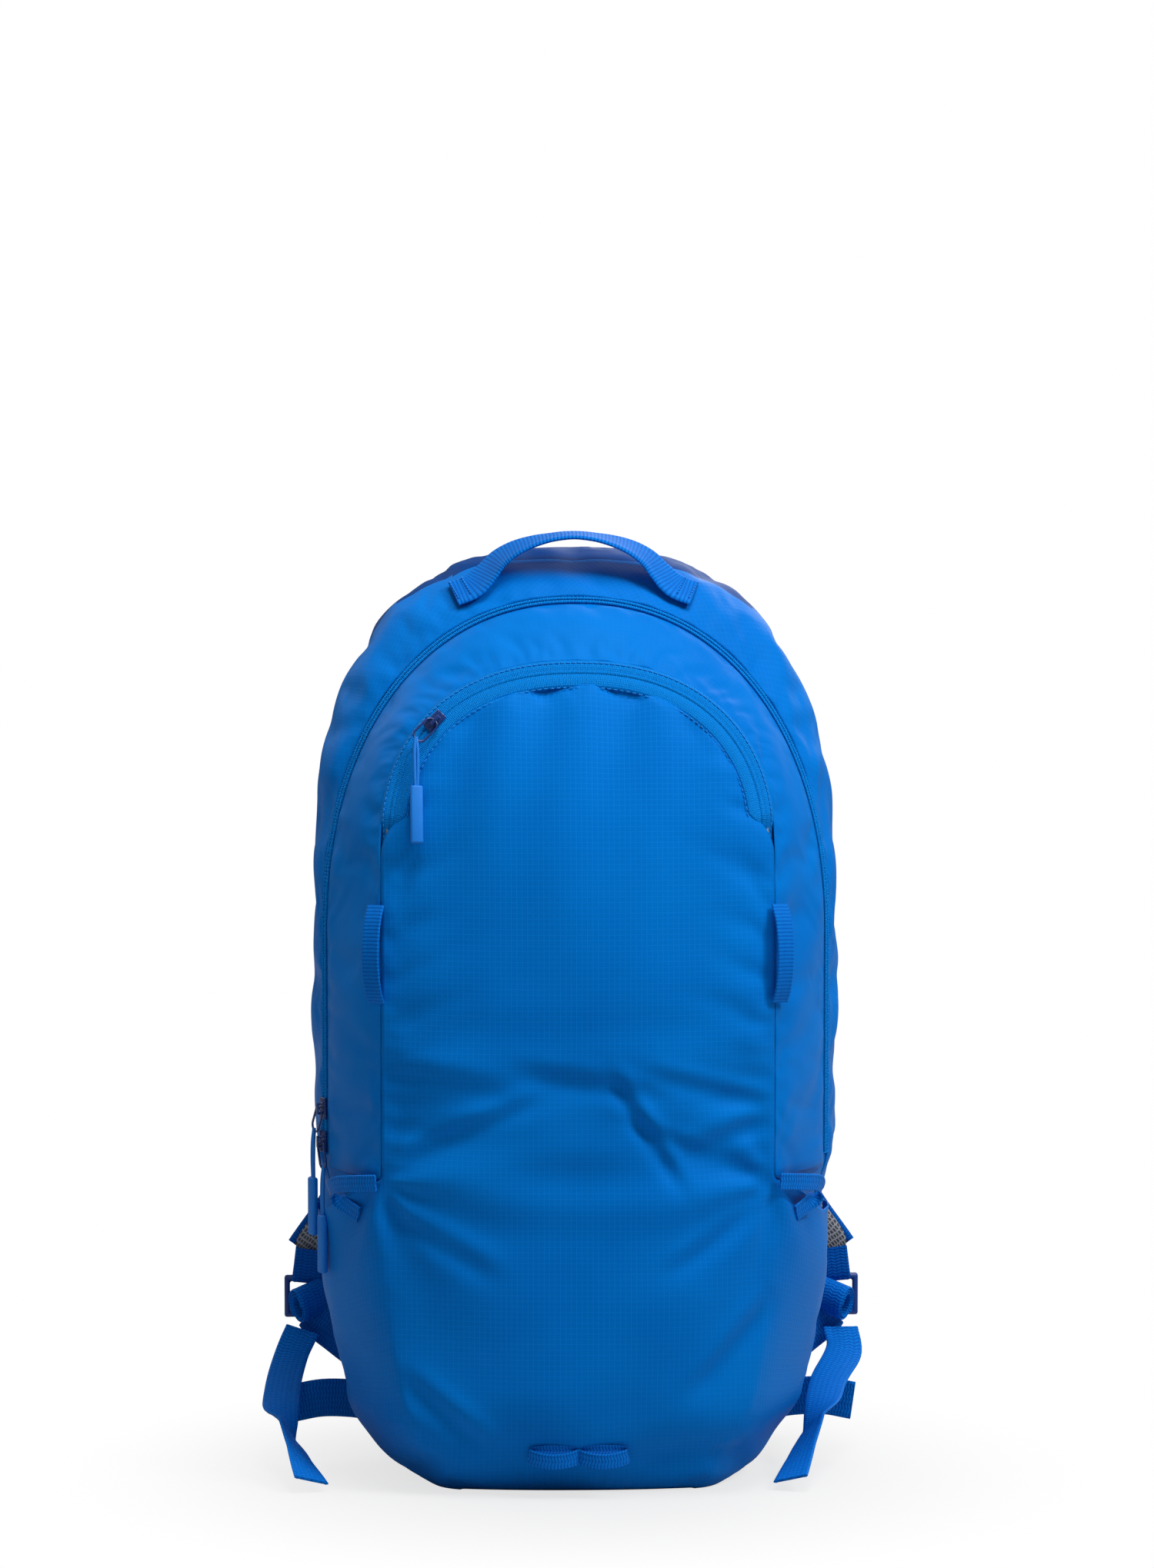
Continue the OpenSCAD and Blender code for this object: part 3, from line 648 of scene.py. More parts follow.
blue = {"deep": (0.0002, 0.118, 0.48, 1), "bright": (0.0004, 0.185, 0.63, 1)}
finishes = {
    "ripstop": clothMaterial("ripstopBlue", blue["deep"], blue["bright"]),
    "gusset": clothMaterial("gussetBlue", (0.0003, 0.125, 0.50, 1), (0.0006, 0.195, 0.66, 1), grid=0.35,
                            roughness=0.46, specular=0.12, turn=4),
    "side": clothMaterial("sideBlue", (0.0003, 0.12, 0.49, 1), (0.0006, 0.185, 0.64, 1), grid=0.8, turn=38,
                          roughness=0.48, specular=0.12),
    "navy": clothMaterial("navyCloth", (0.0015, 0.03, 0.16, 1), (0.003, 0.05, 0.24, 1), grid=0.1, sheen=0.05),
    "lining": clothMaterial("greyLining", (0.2, 0.22, 0.25, 1), (0.27, 0.29, 0.32, 1), grid=0.2,
                            tint=(1, 1, 1, 1)),
    "tape": webMaterial("zipTape", (0.0008, 0.13, 0.5, 1), (0.003, 0.27, 0.82, 1), rib=0.0009, cord=0.0012),
    "web": webMaterial("webbingBlue", (0.001, 0.085, 0.42, 1), (0.004, 0.2, 0.72, 1)),
    "webRib": webMaterial("handleWeb", (0.001, 0.085, 0.42, 1), (0.004, 0.22, 0.76, 1), rib=0.0019,
                          cord=0.05),
    "webDeep": webMaterial("webbingDeep", (0.001, 0.05, 0.28, 1), (0.003, 0.12, 0.5, 1)),
    "thread": webMaterial("threadBlue", (0.01, 0.2, 0.66, 1), (0.05, 0.4, 0.95, 1), rib=0.0006, cord=0.0004),
    "mesh": meshMaterial("spacerMesh", (0.07, 0.075, 0.085, 1), (0.30, 0.31, 0.33, 1)),
    "slider": plasticMaterial("paintedSlider", (0.002, 0.02, 0.13, 1), (0.004, 0.04, 0.22, 1), 0.28,
                              specular=0.7),
    "plastic": plasticMaterial("acetalBlue", (0.001, 0.03, 0.18, 1), (0.002, 0.05, 0.26, 1)),
    "rubber": plasticMaterial("pullRubber", (0.001, 0.14, 0.56, 1), (0.002, 0.21, 0.74, 1), 0.55, 500,
                              0.00003, 0.3),
    "foam": plasticMaterial("closedFoam", (0.03, 0.03, 0.034, 1), (0.05, 0.05, 0.055, 1), 0.8, 900,
                            0.0002, 0.2),
    "sheet": plasticMaterial("frameSheet", (0.02, 0.02, 0.022, 1), (0.035, 0.035, 0.04, 1), 0.45, 400,
                             0.00003),
}
print("stage: materials made")

# Camera, lights and floor
view = {"distance": 3.4, "azimuth": 1.5, "elevation": 5.5, "frameHeight": 0.800, "aim": (0.001, 0.0, 0.3555)}


def cameraAndLights():
    data = bpy.data.cameras.new("camera")
    camera = bpy.data.objects.new("camera", data)
    scene.collection.objects.link(camera)
    az, el = math.radians(view["azimuth"]), math.radians(view["elevation"])
    aim = Vector(view["aim"])
    way = Vector((-math.sin(az) * math.cos(el), -math.cos(az) * math.cos(el), math.sin(el)))
    camera.location = aim + way * view["distance"]
    camera.rotation_euler = (-way).to_track_quat("-Z", "Y").to_euler()
    data.sensor_width = 36
    data.lens = 36 * view["distance"] / view["frameHeight"]
    data.clip_end = 50
    scene.camera = camera
    lamps = {  # place, aim height, power, size
        "keyLight": ((1.9, -1.2, 2.4), 0.28, 52, 0.8),
        "fillLight": ((-1.6, -2.6, 2.0), 0.35, 6, 1.6),
        "topLight": ((0.3, -0.5, 2.4), 0.45, 34, 1.0),
        "backLight": ((0.9, 2.4, 1.6), 0.25, 26, 1.8),
        "rimLight": ((-1.8, 1.6, 1.7), 0.25, 12, 1.6),
    }
    for name, (spot, height, power, size) in lamps.items():
        lamp = bpy.data.lights.new(name, "AREA")
        lamp.energy, lamp.size = power, size
        obj = bpy.data.objects.new(name, lamp)
        scene.collection.objects.link(obj)
        obj.location = spot
        obj.rotation_euler = (Vector((0, 0, height)) - Vector(spot)).to_track_quat("-Z", "Y").to_euler()


def backdropWhite(tree, lit, strength):
    # What the camera, mirrors and glass see is plain white; the object is lit by the dimmer value
    path = tree.nodes.new("ShaderNodeLightPath")
    seen = tree.nodes.new("ShaderNodeMath")
    seen.operation = "MAXIMUM"
    tree.links.new(path.outputs["Is Camera Ray"], seen.inputs[0])
    tree.links.new(path.outputs["Is Transmission Ray"], seen.inputs[1])
    mix = tree.nodes.new("ShaderNodeMix")
    mix.data_type = "FLOAT"
    tree.links.new(seen.outputs[0], mix.inputs[0])
    mix.inputs[2].default_value = lit
    mix.inputs[3].default_value = strength
    return mix.outputs[0]


def backdrop():
    world = bpy.data.worlds.new("studio")
    scene.world = world
    world.use_nodes = True
    background = world.node_tree.nodes["Background"]
    background.inputs["Color"].default_value = (1, 1, 1, 1)
    world.node_tree.links.new(backdropWhite(world.node_tree, 0.13, 1.0), background.inputs["Strength"])
    bpy.ops.mesh.primitive_circle_add(vertices=96, radius=4, fill_type="NGON", location=(0, 0, -0.0006))
    floor = bpy.context.object
    floor.name = "studioFloor"
    settle(floor)
    material = bpy.data.materials.new("paleFloor")
    material.use_nodes = True
    tree = material.node_tree
    shader = tree.nodes["Principled BSDF"]
    shader.inputs["Base Color"].default_value = (0.5, 0.5, 0.5, 1)
    shader.inputs["Roughness"].default_value = 0.9
    shader.inputs["Specular IOR Level"].default_value = 0.1
    glow = tree.nodes.new("ShaderNodeEmission")
    glow.inputs["Color"].default_value = (1, 1, 1, 1)
    # White to the camera away from the bag, so that only the shadow close to it stays
    w = Wires(tree)
    coords = w.node("ShaderNodeTexCoord")
    away = w.node("ShaderNodeVectorMath", operation="LENGTH")
    w.put(away.inputs[0], coords.outputs["Object"])
    far = w.band(away.outputs["Value"], 0.06, 0.28, 0.72, 1.0)
    path = w.node("ShaderNodeLightPath")
    mix = w.node("ShaderNodeMixShader")
    w.put(mix.inputs[0], w.math("MULTIPLY", far, path.outputs["Is Camera Ray"]))
    w.put(mix.inputs[1], shader.outputs[0])
    w.put(mix.inputs[2], glow.outputs[0])
    w.put(tree.nodes["Material Output"].inputs["Surface"], mix.outputs[0])
    floor.data.materials.append(material)


cameraAndLights()
backdrop()
print("stage: camera, lights and floor made")

# Front cloth: one sheet from side pocket to side pocket and up to the arch of the front zip
frontCloth = {
    "thick": 0.0006, "splitZ": 0.262, "mouthZ": 0.161, "mouthDrop": 0.024, "pocketEnd": 2.3,
    "zipBand": 0.0115, "lowRows": 40, "legRows": 42, "archRows": 44, "frontCols": 56, "pocketCols": 26,
    "pressure": 2.2, "growth": 0.022, "cap": 0.0026,
}


def mouthZ(s):
    return frontCloth["mouthZ"] - frontCloth["mouthDrop"] * ramp(np.asarray(s) / 1.1)


def frontWrinkles(p):
    # Height of the folds that a loaded bag shows, at points of the front
    x, z = p[:, 0] * 1000, p[:, 2] * 1000
    d = 1.1 * ripples(p[:, [0, 2]] * [1, 0.6], 0.075, 3)
    d += 0.9 * ripples(p[:, [0, 2]] * [0.45, 1.3], 0.042, 8) * np.exp(-((z - 190) / 55) ** 2)
    below = np.clip((400 - z) / 45, 0, 4)
    d += 1.3 * np.cos(x / 6.3 + 1.2 * np.sin(z / 40)) * np.exp(-below) * (z > 200) * np.exp(-(x / 95) ** 6)

    def crease(ax, az, bx, bz, wide, depth):
        vx, vz = bx - ax, bz - az
        size = math.hypot(vx, vz)
        along = ((x - ax) * vx + (z - az) * vz) / size
        off = ((x - ax) * -vz + (z - az) * vx) / size
        ends = 1 / (1 + np.exp(-(along + 4) / 4)) / (1 + np.exp((along - size - 4) / 4))
        beside = 0.6 * depth * np.exp(-((off - 1.8 * wide) / wide) ** 2)
        return ends * (depth * np.exp(-(off / wide) ** 2) - beside)

    folds = (  # from x, z to x, z, then width and depth, in millimetres
        (20, 208, 46, 166, 3.2, -2.4),
        (40, 214, 92, 200, 3.5, -1.7),
        (-90, 172, -26, 200, 4, -1.8),
        (28, 190, 60, 176, 3.0, -1.5),
        (-20, 214, 40, 205, 4.5, -1.4),
        (52, 120, 96, 150, 4, -1.5),
        (-96, 146, -50, 118, 5, -1.5),
        (64, 60, 92, 92, 5, -2.0),
        (-84, 56, -52, 30, 5, -1.6),
        (-90, 214, -40, 205, 6, -1.3),
        (60, 176, 94, 190, 5, -1.8),
    )
    for fold in folds:
        d += crease(*fold)
    for side in (-1, 1):
        dx, dz = x - side * 99, z - 160
        r = np.hypot(dx, dz)
        angle = np.arctan2(dz, -side * dx)
        pull = np.cos(angle * 7 + 0.6 * side) * np.exp(-r / 42) * ramp(r / 14)
        d += 2.4 * pull * ramp((200 - z) / 30) * (r < 170)
    d += 1.6 * ripples(p[:, [0, 2]] * [1, 1.2], 0.055, 21) * ramp((70 - z) / 50)
    return 1.5 * d * mm


def buildFrontCloth():
    c = frontCloth
    halfCols = np.linspace(-1, 1, c["frontCols"] + 1)
    sLeft = np.linspace(c["pocketEnd"], 0, c["pocketCols"] + 1)[:-1]
    low = []
    for k in np.linspace(0.0, 1, c["lowRows"] + 1):
        zLeft = mouthZ(sLeft) * k
        tLeft = -legT(zLeft)
        left = gusset(tLeft, sLeft)
        z = np.full_like(halfCols, c["mouthZ"] * k)
        x = halfCols * seams[0][0] * toe(z)
        right = left[::-1] * np.array([-1, 1, 1])
        low.append(np.vstack([left, onFront(x, z), right]))
    low = np.array(low)
    high = []
    legU = np.linspace(legT(np.array(c["mouthZ"])), 0.5, c["legRows"] + 1)[1:]
    archU = 0.5 - (0.5 - 0.018) * np.linspace(0, 1, c["archRows"] + 1)[1:] ** 0.9
    for u in np.concatenate([legU, archU]):
        inset = c["zipBand"] * float(ramp((0.502 - u) / 0.07))
        line = insetSeam(inset)
        x = halfCols * seamX(line, np.array(u))
        z = np.full_like(x, seamZ(line, np.array(u)))
        high.append(onFront(x, z))
    high = np.array(high)
    rowsLow, colsLow = low.shape[:2]
    first = c["pocketCols"]
    verts = np.vstack([low.reshape(-1, 3), high.reshape(-1, 3)])
    faces = gridFaces(rowsLow, colsLow, flip=True)
    base = rowsLow * colsLow
    cols = c["frontCols"] + 1
    for j in range(cols - 1):
        a = (rowsLow - 1) * colsLow + first + j
        faces.append((a + 1, base + j + 1, base + j, a))
    faces += gridFaces(len(high), cols, flip=True, start=base)
    lowUv = gridUvs(low)
    middle = np.abs(halfCols).argmin()
    start = lowUv.reshape(rowsLow, colsLow, 2)[-1, first:first + cols]
    along = arcLengths(np.concatenate([low[-1:, first:first + cols], high]), 0)[1:, middle] + start[middle, 1]
    across = arcLengths(high, 1)
    across -= across[:, middle:middle + 1]
    highUv = np.stack([across, np.repeat(along[:, None], cols, 1)], -1).reshape(-1, 2)
    obj = meshPiece("frontCloth", verts, faces, np.vstack([lowUv, highUv]))
    pins = np.zeros(len(verts))
    grid = np.zeros((rowsLow, colsLow))
    grid[0] = 1
    grid[:, [0, -1]] = 1
    grid[-1, [first, -first - 1]] = 1
    pins[:base] = grid.ravel()
    grid = np.zeros((len(high), cols))
    grid[:, [0, -1]] = 1
    grid[-1] = 1
    pins[base:] = grid.ravel()
    relaxCloth(obj, pins, c["pressure"], c["growth"], c["cap"])
    co = readPoints(obj)
    # Folds and puckers, strongest away from or beside the seams
    normal = np.array([v.normal for v in obj.data.vertices])
    edgeX = np.interp(verts[:, 2], [0, 0.05, 0.328, 0.42], [0.06, 0.09, 0.099, 0.0])
    half = np.where(verts[:, 2] < 0.328, edgeX, seams[0][0])
    seamGap = np.zeros(len(verts))
    seamGap[base:] = (1 - np.abs(np.tile(halfCols, len(high)))) * np.repeat(np.abs(high[:, -1, 0]), cols)
    seamGap[:base] = 0.06
    free = 1 - pins
    pucker = np.where(seamGap < 0.03,
                      ripples(verts[:, [2, 0]] * [1, 0.3], 0.011, 5) * np.exp(-seamGap / 0.008), 0)
    d = frontWrinkles(verts) * ramp(seamGap / 0.012) + 0.0007 * pucker * ramp(seamGap / 0.0025)
    zLow = verts[:, 2]
    d *= ramp(zLow / 0.02)
    topRow = np.zeros(len(verts))
    topRow[base:] = np.repeat(np.arange(len(high))[::-1], cols)
    d[base:] *= ramp(topRow[base:] / 4)
    writePoints(obj, co + normal * (d * free)[:, None])
    return obj


def splitByHeight(obj, height, nameLow, nameHigh):
    # Two parts that meet along one line, shaded as one sheet
    mesh = obj.data
    normals = np.array([v.normal for v in mesh.vertices])
    middles = np.array([f.center for f in mesh.polygons])[:, 2]
    # The thickened sheet holds its outer points, then the inner ones in the same order
    half = len(mesh.vertices) // 2
    outer = [f for f in mesh.polygons if max(f.vertices) < half]
    middles[len(outer):2 * len(outer)] = middles[:len(outer)]
    sideOf = {key: f.center[2] for f in outer for key in f.edge_keys}
    for f in mesh.polygons[2 * len(outer):]:
        middles[f.index] = sideOf[tuple(sorted(v for v in f.vertices if v < half))]
    parts = []
    for name, above in ((nameLow, False), (nameHigh, True)):
        part = obj.copy()
        part.data = obj.data.copy()
        part.name = part.data.name = name
        scene.collection.objects.link(part)
        cut = bmesh.new()
        cut.from_mesh(part.data)
        cut.faces.ensure_lookup_table()
        every = list(cut.verts)
        order = {v: i for i, v in enumerate(every)}
        stays = (middles > height) == above
        kept = sorted({v.index for f in cut.faces if stays[f.index] for v in f.verts})
        bmesh.ops.delete(cut, geom=[f for f in cut.faces if not stays[f.index]], context="FACES")
        for edge in [e for e in cut.edges if e.is_boundary]:  # the cut edge is closed between its two faces
            a, b = edge.verts
            if order[a] < half and order[b] < half:
                if edge.link_loops[0].vert == a:
                    a, b = b, a
                cut.faces.new((a, b, every[order[b] + half], every[order[a] + half]))
        cut.to_mesh(part.data)
        cut.free()
        part.data.normals_split_custom_set_from_vertices([tuple(n) for n in normals[kept]])
        parts.append(part)
    bpy.data.objects.remove(obj)
    return parts


frontWhole = buildFrontCloth()
finishCloth(frontWhole, frontCloth["thick"], finishes["ripstop"], levels=1)
frontLower, frontUpper = splitByHeight(frontWhole, frontCloth["splitZ"], "frontClothLower", "frontClothUpper")
keep(frontLower, None, "ripstop", "lower_front", "side_pocket_left", "side_pocket_right", mount=False)
keep(frontUpper, None, "ripstop", "front_panel", "pocket_lip", mount=False)
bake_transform(frontLower)
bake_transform(frontUpper)
print("stage: front cloth made")

# Gussets: bands of cloth between the seam lines
band = {"thick": 0.0006, "rows": 230, "frontCols": 15, "rearCols": 26, "pressure": 2.0, "growth": 0.02,
        "cap": 0.0024}


def bandCloth(name, tEnd, s0, s1, cols, seed, inset=None):
    t = np.linspace(-tEnd, tEnd, band["rows"] + 1)[:, None]
    s = np.linspace(s0, s1, cols + 1)[None, :]
    tt, ss = np.broadcast_arrays(t, s)
    p = gusset(tt, ss)
    n = gussetOut(tt, ss)
    if inset is not None:
        p = p + n * inset(p, ss)[..., None]
    obj = sheetGrid(name, p, flip=False)
    pins = np.zeros(p.shape[:2])
    pins[[0, -1]] = 1
    pins[:, [0, -1]] = 1
    relaxCloth(obj, pins.ravel(), band["pressure"], band["growth"], band["cap"])
    co = readPoints(obj)
    gap0 = np.linalg.norm(p - p[:, :1], axis=-1)
    gap1 = np.linalg.norm(p - p[:, -1:], axis=-1)
    gap = np.minimum(gap0, gap1)
    flat = np.stack([arcLengths(p, 0), arcLengths(p, 1)], -1)
    d = 1.0 * ripples(flat * [1, 0.5], 0.06, seed) * ramp(gap / 0.015)
    d += 0.8 * ripples(flat * [1, 0.25], 0.013, seed + 1) * np.exp(-gap / 0.009) * ramp(gap / 0.003)
    low = ramp((p[..., 2] - 0.16) / 0.02) if inset is not None else 1
    writePoints(obj, co + n.reshape(-1, 3) * (d * low * mm).reshape(-1, 1))
    return obj


frontBand = finishCloth(bandCloth("frontGusset", 0.757, 0.015, 0.915, band["frontCols"], 40), band["thick"],
                        finishes["gusset"])
keep(frontBand, "front_flap", "ripstop", "front_gusset_left", "front_gusset_right", "front_gusset_top")


def paintTop(obj):
    # The dark yoke that comes over from the back
    obj.data.materials.append(finishes["navy"])
    down = np.linspace(1.085, 2.99, band["rearCols"] + 1)
    t = np.linspace(-0.992, 0.992, band["rows"] + 1)
    pick = obj.data.polygons
    for row in range(band["rows"]):
        if abs(t[row]) > 0.27:
            continue
        edge = 2.12 + 1.4 * abs(t[row]) ** 1.5
        for col in range(band["rearCols"]):
            if down[col] > edge:
                pick[row * band["rearCols"] + col].material_index = 1


def pocketInset(p, s):
    # The side panel stands inwards of the side pocket and comes out to the shell behind it
    depth = -0.0011 - 0.009 * clamp01((bag["foldZ"] - 0.002 - p[..., 2]) / 0.03)
    return depth * ramp((2.5 - s) / 0.2) * ramp((bag["foldZ"] + 0.012 - p[..., 2]) / 0.02)


rearBand = bandCloth("rearGusset", 0.992, 1.085, 2.99, band["rearCols"], 60, pocketInset)
rearBand.data.materials.append(finishes["side"])
paintTop(rearBand)
modify(rearBand, "SUBSURF", levels=1, render_levels=1)
modify(rearBand, "SOLIDIFY", thickness=band["thick"], offset=-1, use_even_offset=False)
smooth(rearBand)
keep(rearBand, "pack", "ripstop", "rear_gusset_left", "rear_gusset_right", "rear_gusset_top",
     "side_panel_left", "side_panel_right")


def pocketLining(side):
    s = np.linspace(0.05, 1.1, 12)[None, :]
    z = np.linspace(0.08, 0.1725, 18)[:, None]
    zz, ss = np.broadcast_arrays(z, s)
    t = side * legT(zz)
    p, n = gusset(t, ss), gussetOut(t, ss)
    depth = -0.0016 - 0.009 * clamp01((bag["foldZ"] - 0.002 - zz) / 0.03)
    p = p + n * (depth + 0.0004 * ripples(p, 0.03, 70 + side))[..., None]
    obj = finishCloth(sheetGrid("pocketInner" + ("Left" if side < 0 else "Right"), p, flip=side > 0),
                      0.0006, finishes["side"])
    keep(obj, "pack", "ripstop")


for side in (-1, 1):
    pocketLining(side)
print("stage: gussets made")

# Zips
zips = {"tape": 0.010, "coil": 0.00125, "pitch": 0.0011}


def zipHalf(name, t, s0, s1, body, node):
    # Tape under the cloth edge, with a toothed bead along the meeting line
    tt, ss = np.broadcast_arrays(t[:, None], np.linspace(s0, s1, 5)[None, :])
    p = gusset(tt, ss) - 0.0011 * gussetOut(tt, ss)
    tape = sheetGrid(name, p)
    finishCloth(tape, 0.0007, finishes["tape"], levels=0)
    fine = np.linspace(t[0], t[-1], 900)
    edge = s0 if abs(s0 - 1) < abs(s1 - 1) else s1
    inward = -1 if edge < 1 else 1
    edges = np.full_like(fine, edge)
    line = gusset(fine, edges + inward * 0.02) - 0.0002 * gussetOut(fine, edges)
    angles = np.linspace(0, 2 * math.pi, 7)[:-1]
    rings = [np.stack([np.cos(angles), np.sin(angles)], -1) * zips["coil"] * (1 if i % 2 else 0.72)
             for i in range(len(fine))]
    bead = sweep(name + "Coil", line, gussetOut(fine, np.full_like(fine, edge)), rings)
    smooth(bead, 60)
    bead.data.materials.append(finishes["tape"])
    obj = joined(name, [tape, bead])
    return keep(obj, body, "zip_tape", node)


along = np.linspace(-0.747, 0.747, 260)
zipHalf("mainZipFront", along, 0.80, 0.985, "front_flap", "main_zip_front")
zipHalf("mainZipRear", along, 1.015, 1.20, "pack", "main_zip_rear")


def archStrip(name, inset0, inset1, tEnd, node, lift, taper=False):
    t = np.linspace(-tEnd, tEnd, 240)
    rows = []
    for c in np.linspace(0, 1, 7):
        inset = inset0 + (inset1 - inset0) * c
        if taper:
            inset = np.minimum(inset, 0.0008 + 0.0118 * ramp((0.502 - np.abs(t)) / 0.07) + 0.0008 * c)
        k = seams[0]
        line = (k[0] - inset, k[1] - inset, k[2], k[3])
        x, z = seamX(line, t), seamZ(line, t)
        tuck = 0.0034 * ramp((np.abs(t) - 0.452) / 0.036)
        height = lift + 0.0006 * math.sin(math.pi * c) - 0.0012 - tuck
        rows.append(onFront(x, z) + frontOut(x, z) * height[:, None])
    p = np.array(rows).transpose(1, 0, 2)
    obj = finishCloth(sheetGrid(name, p, flip=True), 0.0008, finishes["tape"], levels=0)
    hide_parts(node)
    return obj


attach(archStrip("frontZipOuter", -0.0006, 0.0050, 0.5, "front_zip_outer", 0.0017), "front_flap")
lipTape = archStrip("frontZipLip", 0.0050, 0.0124, 0.497, "front_zip_lip", 0.0018, taper=True)
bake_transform(lipTape)


def archPath(inset, tEnd, count=400, lift=0.0):
    t = np.linspace(-tEnd, tEnd, count)
    line = insetSeam(inset)
    x, z = seamX(line, t), seamZ(line, t)
    out = frontOut(x, z)
    return onFront(x, z) + out * (lift - 0.0036 * ramp((np.abs(t) - 0.452) / 0.036))[:, None], out


path, out = archPath(0.0050, 0.488, lift=0.0009)
angles = np.linspace(0, 2 * math.pi, 7)[:-1]
teeth = [np.stack([np.cos(angles), np.sin(angles) * 0.6],
                  -1) * 0.0012 * (1 if i % 2 else 0.75) for i in range(400)]
bead = sweep("archCoil", path, out * 0 + np.cross(np.gradient(path, axis=0), out), teeth)
smooth(bead, 60)
bead.data.materials.append(finishes["tape"])
keep(bead, "front_flap", "zip_tape")
path, out = archPath(0.0128, 0.462, lift=0.0011)
keep(stitchRow("lipStitches", path, out, finishes["thread"]), "pocket_lip", "zip_tape")
path, out = archPath(0.0008, 0.49, lift=0.0010)
keep(stitchRow("archStitches", path, out, finishes["thread"], pitch=0.0028), "front_flap", "zip_tape")
print("stage: zips made")


def roundedCopy(name, node, body, slotName, finish, width=0.0004):
    # The frame's own hard part with its edges rounded, as a piece of its own
    source = frame["nodes"][node]
    obj = source.copy()
    obj.data = source.data.copy()
    obj.parent = None
    obj.matrix_world = Matrix.Identity(4)
    for key in list(obj.keys()):
        del obj[key]
    obj.name = obj.data.name = name
    scene.collection.objects.link(obj)
    selectOnly(obj)
    bpy.ops.object.mode_set(mode="EDIT")
    bpy.ops.mesh.select_all(action="SELECT")
    bpy.ops.mesh.remove_doubles(threshold=0.00002)
    bpy.ops.mesh.dissolve_limited(angle_limit=math.radians(2))
    bpy.ops.object.mode_set(mode="OBJECT")
    modify(obj, "BEVEL", width=width, segments=3, limit_method="ANGLE")
    smooth(obj, 40)
    obj.data.materials.clear()
    obj.data.materials.append(finishes[finish])
    return keep(obj, body, slotName, node)


for name, node in (("frontSlider", "front_slider"), ("lowerSlider", "lower_slider"),
                   ("upperSlider", "upper_slider")):
    roundedCopy(name, node, node, "slider_metal", "slider")

pull = {"linkWidth": 0.008, "linkLength": 0.015, "wire": 0.0006, "cord": 0.0009, "cordLength": 0.024,
        "tagWidth": 0.0065, "tagLength": 0.030, "tagThick": 0.0034}


def pullAt(name, node, pivot, turn, roll, flip=0):
    # Wire link, doubled cord and a moulded tag, in the slider's own frame and then carried to the bag
    c = pull
    reach = c["linkLength"] - 0.0012
    half, long = c["linkWidth"] / 2 - c["wire"], c["linkLength"] / 2 - c["wire"]
    angles = np.linspace(0, 2 * math.pi, 49)[:-1]
    loop = np.array([(half * math.cos(a), 0, (long - half) * np.sign(math.sin(a)) + half * math.sin(a))
                     for a in angles])
    loop[:, 2] -= reach / 2
    turnRoll = np.array(Matrix.Rotation(math.radians(roll), 3, "Y"))
    loop = loop @ turnRoll.T
    ring = tubeLoop(name + "Link", loop, c["wire"])
    ring.data.materials.append(finishes["slider"])
    end = np.array([0, 0, -reach]) @ turnRoll.T
    pieces = [ring]
    for dx in (-0.0008, 0.0008):
        cord = curvePath([end + [dx * 0.3, 0, 0.0012], end + [dx, -0.0006, -0.006],
                          end + [dx, -0.0008, -0.015],
                          end + [dx * 0.7, -0.0006, -c["cordLength"] - 0.001]], 24)
        circle = np.array([(math.cos(a),
                            math.sin(a)) for a in np.linspace(0, 2 * math.pi, 9)[:-1]]) * c["cord"]
        strand = sweep(name + "Cord", cord, [1, 0, 0] + 0 * cord, circle)
        strand.data.materials.append(finishes["rubber"])
        pieces.append(smooth(strand, 60))
    bpy.ops.object.select_all(action="DESELECT")
    bpy.ops.mesh.primitive_cube_add(size=1)
    tag = bpy.context.object
    tag.scale = (c["tagWidth"], c["tagThick"], c["tagLength"])
    tag.location = Vector(end) + Vector((0, -0.0009, -c["cordLength"] - c["tagLength"] / 2))
    settle(tag)
    bpy.ops.object.mode_set(mode="EDIT")
    bpy.ops.mesh.select_all(action="SELECT")
    bpy.ops.mesh.bevel(offset=0.0013, segments=4, affect="EDGES")
    bpy.ops.object.mode_set(mode="OBJECT")
    smooth(tag, 50)
    tag.data.materials.append(finishes["rubber"])
    pieces.append(tag)
    obj = joined(name, pieces)
    bar = Vector((math.cos(math.radians(roll)), 0, -math.sin(math.radians(roll))))
    obj.matrix_world = Matrix.Translation(pivot) @ turn @ Matrix.Rotation(math.radians(-flip), 4, bar)
    settle(obj)
    return keep(obj, node, "pull_rubber", node)


def tubeLoop(name, loop, radius, sides=8):
    n = len(loop)
    along = unit(np.roll(loop, -1, 0) - np.roll(loop, 1, 0))
    up = np.array([0.0, 1, 0]) + 0 * loop
    side = unit(np.cross(along, up))
    verts = np.array([[loop[i] + radius * (math.cos(a) * side[i] + math.sin(a) * up[i])
                       for a in np.linspace(0, 2 * math.pi, sides + 1)[:-1]] for i in range(n)])
    faces = [(i * sides + j, i * sides + (j + 1) % sides, ((i + 1) % n) * sides + (j + 1) % sides,
              ((i + 1) % n) * sides + j) for i in range(n) for j in range(sides)]
    obj = recalc(meshPiece(name, verts.reshape(-1, 3), faces, np.zeros((n * sides, 2))))
    return smooth(obj)


def jointOf(child):
    return next(j for j in frame["joints"] if j["child"] == child)


mainTurn = Matrix.Rotation(math.radians(-62), 4, "Z")
frontTurn = Matrix.Rotation(math.radians(-12.6), 4, "X")
pullAt("lowerPull", "lower_pull", jointOf("lower_pull")["pos_m"], mainTurn, -16)
pullAt("upperPull", "upper_pull", jointOf("upper_pull")["pos_m"], mainTurn, 28.8)
pullAt("frontPull", "front_pull", jointOf("front_pull")["pos_m"], frontTurn, 44, 8)
print("stage: sliders and pulls made")

# Webbing: handle, loops, tails and harness
web = {"width": 0.020, "thick": 0.0016, "loop": 0.010}


